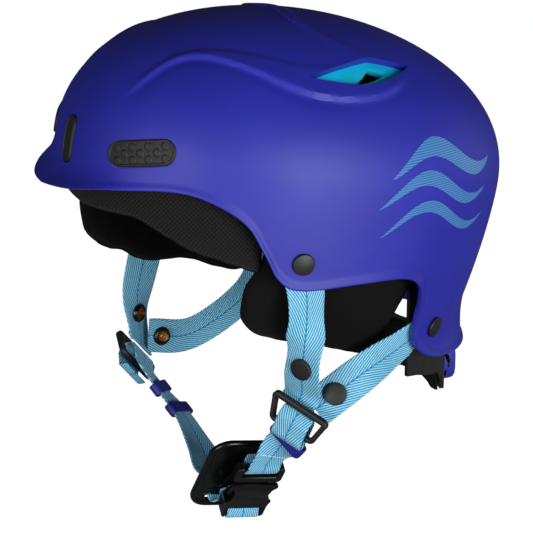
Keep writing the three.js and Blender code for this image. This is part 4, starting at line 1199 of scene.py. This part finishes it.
def snap(label, which, strap, h):
    place = strap.place(h["snaps"][which], h["side"])
    body, suffix = "harness_" + label, which + "_" + label
    cap = revolve("snap_cap_" + suffix + "_dome", arc_profile(6.6, 1.0, 2.9, 0.5, 0.7), place)
    done(cap, body, BLACK_MATTE, "black_plastic", "snap_cap_" + suffix, angle=45)
    ring = [(2.9, -0.9), (5.5, -0.9), (6.0, -1.5), (5.9, -2.4), (5.3, -3.1), (4.5, -3.4),
            (3.8, -3.2), (3.5, -2.6), (3.4, -1.6)]
    brass = [(0.2, -1.2), (3.6, -1.2), (3.65, -2.5), (3.3, -2.9), (2.75, -2.8), (2.6, -1.9),
             (1.7, -1.8), (1.5, -2.4), (0.9, -2.55), (0.2, -2.5)]
    outer = paint(revolve("outer", ring + ring[:1], place, 48), BLACK)
    inner = paint(revolve("inner", brass, place, 48), BRASS)
    socket = joined("snap_socket_" + suffix + "_ring", outer, inner)
    done(socket, body, None, "snap_brass", "snap_socket_" + suffix, angle=45)


def rivets():
    for label, side in SIDES.items():
        for which, place in (("front", RIVET_FRONT), ("rear", RIVET_REAR)):
            profile = [(0.3, -10), (2.2, -10), (2.2, 0.25), *arc_profile(6.2, 0.25, 2.2, 0.8, 0.8)[1:]]
            head = revolve(f"rivet_{which}_{label}_dome", profile, dome_place(*place, side))
            done(head, "shell", BLACK_MATTE, "black_plastic", f"rivet_{which}_{label}", angle=45)


def harness():
    for label, h in HARNESS.items():
        side, body = h["side"], "harness_" + label
        straps = {"front": front_strap(h), "rear": rear_strap(h)}
        for which, strap in straps.items():
            web = webbing(f"webbing_{which}_{label}", strap)
            smooth(web, 60)
            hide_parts(f"{which}_strap_{label}")
            top, low = (strap.sections(s)[0][0] for s in (0.1, 0.42))
            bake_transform(web)
            snap(label, which, strap, h)
        divider_ring(label, h)


def stitch_row(strap, share, lift, count=11, width=15.0):
    """A row of thread stitches across a web."""
    origin, wide, along = strap.place(share)
    face = np.cross(wide, along)
    turn = full_turn(8)
    stitches = []
    for i in range(count):
        centre = origin + wide * (i - (count - 1) / 2) * width / (count - 1) + face * lift
        lean_along = unit(wide + along * (0.5 if i % 2 else -0.5))
        other = unit(np.cross(face, lean_along))
        rings = []
        for t in np.linspace(-1, 1, 7):
            size = 0.32 * math.sqrt(max(1 - t * t, 0.02))
            middle = centre + lean_along * t * 0.75 + face * 0.28 * (1 - t * t)
            rings.append([middle + size * (math.cos(a) * face + math.sin(a) * other) for a in turn])
        stitches.append(paint(tube_solid("stitch", rings), THREAD))
    return stitches


def keeper_loop(name, strap, share, node):
    """A rubber loop that holds the web's tail."""
    origin, wide, along = strap.place(share)
    path = closed_path(rounded_rectangle(strap.width + 3.0, 5.2, 2.3, 6), 0.9)
    place = (origin, wide, np.cross(along, wide) * -1)
    body = swept_loop(name, path, place, lambda point: ring_section(0.75, 4.0, 5, 24))
    return done(body, "chin", BLUE_RUBBER, "blue_rubber", node, angle=50)


def chin():
    left, right = left_web(), right_web()
    parts = [webbing("web", left)]
    parts += stitch_row(left, 0.36, 0.95) + stitch_row(left, 0.36, -0.95)
    short = joined("webbing_chin_left", *parts)
    done(short, "chin", None, "webbing", "chin_web_left", angle=60)
    long = webbing("webbing_chin_right", right)
    done(long, "chin", None, "webbing", "chin_web_right", angle=60)
    for which, strap, share in (("left", left, 0.54), ("right_upper", right, 0.4),
                                ("right_lower", right, 0.51)):
        keeper_loop("keeper_loop_" + which, strap, share, "keeper_" + which)


# ---------------------------------------------------------------- buckle
def refined(name, node, width, segments=3, angle=35):
    """A CAD node's own shape with its edges rounded."""
    obj = added(name, NODES[node].data.copy())
    bm = bmesh.new()
    bm.from_mesh(obj.data)
    bmesh.ops.remove_doubles(bm, verts=bm.verts, dist=0.00002)
    bmesh.ops.dissolve_limit(bm, angle_limit=math.radians(3), verts=bm.verts, edges=bm.edges)
    bm.to_mesh(obj.data)
    bm.free()
    return bevel(obj, width, segments, angle)


def female_outline():
    w = 14.5
    right = np.concatenate([
        [(w - 1.6, 8.2), (w - 0.6, 7.6), (w, 6.2)],
        quadratic((w, 4.6), (w - 3.4, 2.4), (w - 3.7, -2.6), 8),
        quadratic((w - 3.7, -2.6), (w - 3.2, -8.8), (w, -9.4), 8),
        quadratic((w, -9.4), (w - 1.6, -13), (w - 1.2, -18), 6),
        quadratic((w - 1.2, -20), (w - 0.6, -24.4), (w - 4, -24.4), 6),
    ])
    return np.concatenate([right, (right * [-1, 1])[::-1]])


def female_half():
    body = prism("buckle_socket_half", female_outline(), -4.5, 4.5, BUCKLE)
    # The cavity, the side openings, the bar's slot and a recess on each face.
    for size, y, low, high in (
        ((21.6, 24, 1.2), -1, -2.6, 2.6), ((40, 22, 1.2), 1, -2.6, 2.6),
        ((22, 5.2, 1.0), -18, -8, 8),
        ((22, 9, 0.8), -24.6, 5.6 - 3.1, 5.6 + 3.1), ((22, 9, 0.8), -24.6, -5.6 - 3.1, -5.6 + 3.1),
    ):
        boolean(body, prism("tool", rounded_rectangle(*size) + [0, y], low, high, BUCKLE))
    bevel(body, 0.9, 4, 32)
    return done(body, "buckle_lower", BLACK, "black_plastic", "buckle_female", angle=50)


def guard():
    """The guard behind the buckle: a thin plate inside a thick rounded rim."""
    origin = in_place(BUCKLE, -8, -1, -10.9)
    place = (origin, BUCKLE[1], BUCKLE[2])
    path = closed_path(rounded_rectangle(39.6, 59.6, 10.5, 10), 1.1)
    rim = swept_loop("rim", path, place, lambda point: ring_section(1.9, 1.9, 2.6, 18))
    plate = prism("plate", rounded_rectangle(39, 59, 10, 10), -0.7, 0.7, place)
    boolean(plate, prism("tool", rounded_rectangle(25, 5.5, 2.2) + [0, -23], -3, 3, place))
    slot_path = closed_path(rounded_rectangle(26, 6.5, 2.8) + [0, -23], 0.7)
    slot_rim = swept_loop("slot", slot_path, place, lambda point: ring_section(0.8, 1.25, 2.4, 12))
    obj = joined("guard_plate_rimmed", rim, plate, slot_rim)
    return done(obj, "buckle_lower", BLACK, "black_plastic", "guard_plate", angle=45)


def loop_web():
    """The web round the buckle's lower bar, and its run through the guard's slot."""
    turn = [(0, -9, -7.2), (0, -17, -7), (0, -23, -5.6), (0, -26.2, 0), (0, -23, 5),
            (0, -18.1, 2.6), (0, -17.7, -2.4)]
    through = [(-8, -13, -14.2), (-8, -20, -13.8), (-8, -24, -11), (-7, -23.6, -8.9), (-3, -19, -8.6)]
    runs = [
        webbing(name, Strap([in_place(BUCKLE, *p) for p in line], [BUCKLE[1]] * 2, CHIN_WIDTH))
        for name, line in (("turn", turn), ("tail", through))
    ]
    web = joined("webbing_buckle_loop", *runs)
    return done(web, "buckle_lower", None, "webbing", "buckle_web_loop", angle=60)


def buckle():
    male = refined("buckle_plug_half", "buckle_male", 0.9, 4)
    done(male, "chin", BLACK, "black_plastic", "buckle_male", angle=50)
    for which in ("rear", "front"):
        arm = refined("buckle_prong_arm_" + which, "buckle_prong_" + which, 0.7, 3)
        done(arm, "prong_" + which, BLACK, "black_plastic", "buckle_prong_" + which, angle=50)
    female_half()
    guard()
    loop_web()


# ---------------------------------------------------------------- foam and pads
def foam_edge(theta):
    return np.maximum(lip_height(theta) + FOAM_LIP_GAP, FOAM_EDGE)


def foam_liner():
    theta = lip_columns(3.2)
    heights = section_heights(foam_edge(theta), 46)

    def outside(t, h):
        return layer(t, h, 9.5 - 4.2 * ease(h, -20, 6))

    liner = bowl("foam_liner_bowl", theta, heights, outside,
                 level_layer(22.0), rim=0.25, rim_steps=7)
    for side in (1, -1):
        pocket = boolean(vent_prism(vent_outline(3), -30, 30, side),
                         dome_band(-4, VENT_DEPTH + 3.4), "INTERSECT")
        boolean(liner, pocket)
        boolean(liner, vent_prism(vent_hole(), -40, 10, side))
    return done(liner, "shell", FOAM, "liner_foam", "foam_liner", angle=40)


def panel_points(spec, steps, rows):
    """A pad between two angles as two crowned faces that meet in a seam round its edge."""
    share = np.linspace(0, 1, steps)
    down = np.linspace(0, 1, rows)
    theta = spec["from"] + (spec["to"] - spec["from"]) * share
    top, bottom = spec["top"](theta), spec["bottom"](theta)
    height = top[:, None] + (bottom - top)[:, None] * down[None]
    angle = np.broadcast_to(theta[:, None], height.shape)
    outer, inner = spec["outer"](angle, height), spec["inner"](angle, height)
    edge = np.minimum(np.minimum(share, 1 - share)[:, None] * spec["long"],
                      np.minimum(down, 1 - down)[None] * spec["tall"])
    pinch = 0.18  # the thickness left at the seam, as a share of the whole
    full = pinch + (1 - pinch) * quarter_round(edge / spec["round"])
    middle, half = (outer + inner) / 2, (inner - outer) / 2 * full
    return layer(angle, height, middle - half), layer(angle, height, middle + half)


PAD_VOXEL, CLOTH_FRAMES = 3.4, 14


def stuff(obj, seam, cap):
    """Swells a pad as cloth filled with foam, held at its seam, moving at most cap millimetres."""
    mod = obj.modifiers.new("remesh", "REMESH")
    mod.mode, mod.voxel_size = "VOXEL", PAD_VOXEL * MM
    apply_modifiers(obj)
    start = coordinates(obj)
    distance, _ = nearest_on((closed_path(seam, 2.0) + DOME_CENTRE) * MM, start)
    pins = obj.vertex_groups.new(name="seam")
    for i in np.flatnonzero(distance < 0.9 * PAD_VOXEL * MM):
        pins.add([int(i)], 1.0, "REPLACE")
    cloth = obj.modifiers.new("cloth", "CLOTH")
    cloth.settings.use_pressure = True
    cloth.settings.uniform_pressure_force = 4
    cloth.settings.quality = 4
    cloth.settings.vertex_group_mass = "seam"
    cloth.settings.effector_weights.gravity = 0
    scene = bpy.context.scene
    cloth.point_cache.frame_start, cloth.point_cache.frame_end = 1, CLOTH_FRAMES
    for number in range(1, CLOTH_FRAMES + 1):
        scene.frame_set(number)
    apply_modifiers(obj)
    scene.frame_set(1)
    move = coordinates(obj) - start
    size = np.linalg.norm(move, axis=1, keepdims=True)
    move *= np.minimum(1, cap * MM / np.maximum(size, 1e-9))
    obj.data.vertices.foreach_set("co", (start + move).reshape(-1))
    obj.vertex_groups.clear()
    return subdivide(obj)


def piping(obj, seam, radius):
    """A cord round a pad's seam, laid where the pad's edge has come to lie."""
    body = coordinates(obj) / MM - DOME_CENTRE
    path = closed_path(seam, 2.0)
    _, near = nearest_on(body, path)
    path = body[near]
    for _ in range(3):
        path = (np.roll(path, 1, 0) + 2 * path + np.roll(path, -1, 0)) / 4
    along = unit(np.roll(path, -1, 0) - np.roll(path, 1, 0))
    side = unit(np.cross(along, path - path.mean(0)))
    other = np.cross(along, side)
    turn = full_turn(8)
    rings = path[:, None] + radius * (
        np.cos(turn)[None, :, None] * side[:, None] + np.sin(turn)[None, :, None] * other[:, None])
    return loop_solid("piping", rings)


def sewn_pad(node, front, back, body, material, cap, cord=0.9):
    """A pad between two grids of points, stuffed, with piping round its seam."""
    rows, columns = front.shape[:2]
    front, back = front.reshape(-1, 3), back.reshape(-1, 3)
    obj, border = sheet_solid(node + "_sewn_body", front, back, rows, columns)
    seam = (front[border] + back[border]) / 2
    stuff(obj, seam, cap)
    whole = joined(node + "_sewn", paint(obj, material), paint(piping(obj, seam, cord), PLUSH))
    return done(whole, body, None, "pad_fabric", node, angle=60)


def shell_pad(node, spec, material, cap):
    front, back = (points * spec.get("flip", 1) for points in panel_points(spec, 70, 26))
    return sewn_pad(node, front, back, "shell", material, cap)


# Edges of the soft parts: angle from the front, height over the dome's centre.
BAND_BOTTOM = [(0, -37), (10, -35.5), (23, -33), (32, -40), (40, -45.5), (50, -48.5), (60, -52)]
EAR_BOTTOM = {
    "left": [(58, -82), (60, -89), (64.5, -93.8), (73, -95.6), (87, -97.5), (101, -101), (124, -109)],
    "right": [(26, -64), (30, -71), (36, -76.5), (42, -79.5), (47, -81.5), (50, -80), (54, -86),
              (64, -90.5), (75, -89.5), (85, -88.5), (95, -93), (110, -96)],
}
EAR_DROP = 1.6


def edge_height(edge, theta):
    """A soft edge's height at an angle, rounded at its corners."""
    angle = np.abs(np.asarray(theta, float))
    xs, ys = np.array(edge, float).T
    near = [np.interp(angle + d, xs, ys) for d in (-2, -1, 0, 1, 2)]
    return sum(near) / len(near)


def ear_depth(height):
    return 11.5 + 8.5 * ease(-height, 40, 92)


def ear_top(front, theta):
    under_band = np.minimum(edge_height(BAND_BOTTOM, theta) - EAR_DROP, -44)
    corner = 8 * (1 - ease(theta, front, front + 3)) if front > 50 else 0
    return lerp(under_band, foam_edge(theta) - 1.5, ease(theta, 60.8, 63.6)) - corner


def pads():
    brow = {
        "from": -56, "to": 56, "long": 190, "tall": 36, "round": 7,
        "top": lambda t: np.full(t.shape, 8.0),
        "bottom": lambda t: -30 + 4 * ease(np.abs(t), 20, 56),
        "outer": lambda t, h: np.full(t.shape, 23.6), "inner": lambda t, h: np.full(t.shape, 31.4),
    }
    shell_pad("brow_pad", brow, MESH_FABRIC, 1.2)
    band = {
        "from": -61.5, "to": 61.5, "long": 256, "tall": 22, "round": 8,
        "top": lambda t: foam_edge(t) - 1.5,
        "bottom": lambda t: edge_height(BAND_BOTTOM, t),
        "outer": lambda t, h: 9.6 - 1.2 * (1 - ease(np.abs(t), 15, 35)),
        "inner": lambda t, h: np.full(t.shape, 20.5),
    }
    shell_pad("temple_band", band, MESH_FABRIC, 1.2)
    for label, side in SIDES.items():
        edge = EAR_BOTTOM[label]
        spec = {
            "from": edge[0][0], "to": edge[-1][0], "long": 100, "tall": 42, "round": 9,
            "flip": np.array([side, 1, 1]),
            "top": lambda t, front=edge[0][0]: ear_top(front, t),
            "bottom": lambda t, edge=edge: edge_height(edge, t),
            "outer": lambda t, h: ear_depth(h) + 0.6, "inner": lambda t, h: ear_depth(h) + 11.4,
        }
        shell_pad("ear_pad_" + label, spec, PLUSH, 2.0)


def arc_points(radius, angle, height):
    """A point on the nape cradle's cylinder. angle is degrees from straight back."""
    a = np.radians(angle)
    return np.stack([radius * np.sin(a), CRADLE_AXIS_Y + radius * np.cos(a), height + 0 * a], -1)


CRADLE_AXIS_Y, CRADLE_RADIUS, CRADLE_WALL = 30.0, 75.0, 2.4
NAPE_PAD_END = 73.0
DIAL_HEIGHT = -142.0
DIAL_PLACE = (
    np.array([0, CRADLE_AXIS_Y + CRADLE_RADIUS, DIAL_HEIGHT]),
    np.array([-1.0, 0, 0]), np.array([0, 0, 1.0]),
)


def nape_pad():
    """The nape pad: a crowned pad on the cradle's inner face, seamed all round."""
    steps, rows = 76, 22
    share, down = np.linspace(-1, 1, steps), np.linspace(-1, 1, rows)
    turn = NAPE_PAD_END * share
    low = -155.5 + 24 * ease(np.abs(turn), 24, 54) + 6 * ease(np.abs(turn), 54, 77)
    high = -125 + 24 * ease(np.abs(turn), 20, 58)
    a = np.broadcast_to(turn[:, None], (steps, rows))
    z = (high + low)[:, None] / 2 + (high - low)[:, None] / 2 * down[None]
    edge = np.minimum((1 - np.abs(share))[:, None] * 92, (1 - np.abs(down))[None] * 14)
    full = 0.2 + 0.8 * quarter_round(edge / 6)
    outer_radius = CRADLE_RADIUS - CRADLE_WALL - 0.6
    front = arc_points(outer_radius + 0 * a, a, z)
    back = arc_points(outer_radius - 6.6 * full, a, z)
    return sewn_pad("nape_pad", front, back, "cradle", PLUSH, 0.8, 0.8)


def crown_pad():
    """The crown pad: an oval cushion whose lower face stays flat where the head rests."""
    lo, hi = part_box("crown_pad")
    centre = np.array([(lo.x + hi.x) / 2, (lo.y + hi.y) / 2, lo.z]) / MM - DOME_CENTRE
    half = np.array([hi.x - lo.x, hi.y - lo.y]) / MM / 2
    rings = []
    turn = full_turn(72)
    profile = [(0.02, 0.0), (0.5, 0.0), (0.9, 0.0), (0.975, 0.5), (1.0, 1.6), (0.985, 2.8),
               (0.93, 4.2), (0.8, 6.2), (0.5, 8.8), (0.02, 10.2)]
    for scale, lift in profile:
        ring = np.stack([half[0] * scale * np.cos(turn), half[1] * scale * np.sin(turn),
                         np.full(72, lift)], -1)
        rings.append(centre + ring)
    obj = subdivide(tube_solid("crown_pad_cushion", rings))
    return done(obj, "shell", MESH_FABRIC, "pad_fabric", "crown_pad", angle=60)


# ---------------------------------------------------------------- nape cradle and dial
def cradle():
    yoke = refined("nape_cradle_yoke", "nape_cradle", 0.6, 3)
    done(yoke, "cradle", BLACK_MATTE, "black_plastic", "nape_cradle", angle=40)
    for label in SIDES:
        band = refined("rack_band_strip_" + label, "rack_band_" + label, 0.35, 2)
        done(band, "band_" + label, BLACK_MATTE, "black_plastic", "rack_band_" + label, angle=40)
    case = refined("dial_case", "dial_housing", 1.0, 4)
    done(case, "cradle", BLUE, "blue_plastic", "dial_housing", angle=40)
    steps = 240
    turn = full_turn(steps)
    grip = 0.75 * np.abs(np.sin(turn * 9)) ** 0.7
    rings = []
    for radius, height, share in ((3, 9.2, 0), (10.2, 9.2, 0.4), (11.4, 10.0, 1), (11.7, 11.0, 1),
                                  (11.4, 13.6, 1), (10.6, 14.6, 0.8), (9.2, 15.0, 0.1),
                                  (7.2, 14.3, 0), (4, 14.0, 0), (0.3, 14.0, 0)):
        r = radius - 0.9 * share + grip * share
        rings.append(seated(np.stack([r * np.cos(turn), r * np.sin(turn),
                                      np.full(steps, height)], -1), DIAL_PLACE))
    knob = tube_solid("dial_knob_grip", rings)
    done(knob, "dial", GREY, "grey_plastic", "dial_knob", angle=50)
    paint(NODES["dial_pinion"], GREY)
    for label, side in SIDES.items():
        lo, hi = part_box("cradle_stud_" + label)
        middle = np.array((lo + hi) / 2) / MM - DOME_CENTRE
        middle[0] = side * (abs(middle[0]) - 9.1 + 6.2)
        place = (middle, np.array([0, 1.0, 0]), np.array([0, 0, side * 1.0]))
        head = revolve("cradle_stud_button_" + label,
                       [(0.3, 12), (2, 12), (2, -5), (4.4, -5), (4.4, -5.8), (4.0, -6.2), (0.3, -6.2)],
                       place, 40)
        done(head, "shell", BLACK_MATTE, "black_plastic", "cradle_stud_" + label, angle=45)


def washers():
    """The washers are the CAD's own shapes, with a material."""
    for label in SIDES:
        for which in ("front", "rear"):
            paint(NODES[f"washer_{which}_{label}"], STEEL)


# ---------------------------------------------------------------- stage
def area_light(name, location, target, size, power):
    data = bpy.data.lights.new(name, "AREA")
    data.shape, data.size, data.size_y = "RECTANGLE", *size
    data.energy = power
    obj = added(name, data)
    obj.location = location
    obj.rotation_euler = (Vector(target) - Vector(location)).to_track_quat("-Z", "Y").to_euler()


def stage():
    lo, _ = CAD_BOX
    floor_z = lo.z - 0.0015
    mesh = bpy.data.meshes.new("floor")
    size = 6.0
    mesh.from_pydata([(-size, -size, floor_z), (size, -size, floor_z), (size, size, floor_z),
                      (-size, size, floor_z)], [], [(0, 1, 2, 3)])
    floor = added("floor", mesh)
    n = Nodes("pale_floor")
    n.set(Base_Color=n.ramp(n.noise(3, 2), (0.3, (0.42,) * 3), (0.7, (0.44,) * 3)), Roughness=0.9)
    seen = n.tree.nodes.new("ShaderNodeLightPath").outputs["Is Camera Ray"]
    n.set(Emission_Color=(1, 1, 1, 1), Emission_Strength=n.math("MULTIPLY", seen, 0.97))
    mesh.materials.append(n.material)

    world = bpy.data.worlds.new("studio")
    bpy.context.scene.world = world
    world.use_nodes = True
    tree = world.node_tree
    tree.nodes.clear()
    out = tree.nodes.new("ShaderNodeOutputWorld")
    seen, fill = tree.nodes.new("ShaderNodeBackground"), tree.nodes.new("ShaderNodeBackground")
    seen.inputs[0].default_value, seen.inputs[1].default_value = (1, 1, 1, 1), 1.0
    fill.inputs[0].default_value, fill.inputs[1].default_value = (1, 1, 1, 1), 0.05
    path, mix = tree.nodes.new("ShaderNodeLightPath"), tree.nodes.new("ShaderNodeMixShader")
    tree.links.new(path.outputs["Is Camera Ray"], mix.inputs[0])
    tree.links.new(fill.outputs[0], mix.inputs[1])
    tree.links.new(seen.outputs[0], mix.inputs[2])
    tree.links.new(mix.outputs[0], out.inputs[0])


CAMERA_AZIMUTH, CAMERA_ELEVATION = math.radians(62.6), math.radians(17.5)
CAMERA_DISTANCE = 1.3


def camera():
    a, e = CAMERA_AZIMUTH, CAMERA_ELEVATION
    back = np.array([math.sin(a) * math.cos(e), -math.cos(a) * math.cos(e), math.sin(e)])
    right = np.array([math.cos(a), math.sin(a), 0])
    up = np.cross(back, right)
    aim = (DOME_CENTRE - 7.56 * right + 2.88 * up + [0, 0, -72.7]) * MM
    data = bpy.data.cameras.new("camera")
    data.lens, data.sensor_width = 146.3, 36
    obj = added("camera", data)
    obj.location = aim + CAMERA_DISTANCE * back
    obj.rotation_euler = Matrix([right, up, back]).transposed().to_euler()
    bpy.context.scene.camera = obj
    return Vector(aim), Vector(back), Vector(right), Vector(up)


def lights(aim, back, right, up):
    area_light("key", aim + 1.5 * back + 1.0 * right - 0.28 * up, aim, (0.9, 0.7), 26)
    area_light("front_fill", aim + 1.3 * back - 0.9 * right - 0.3 * up, aim, (0.9, 0.9), 15)
    area_light("rim_right", aim - 0.5 * back + 1.3 * right + 0.1 * up, aim, (0.4, 1.0), 2)


# ---------------------------------------------------------------- build
outer_shell()
plugs()
vent_inserts()
side_graphics()
foam_liner()
pads()
crown_pad()
rivets()
harness()
chin()
buckle()
cradle()
nape_pad()
washers()
stage()
lights(*camera())
bpy.context.scene.view_settings.view_transform = "Standard"
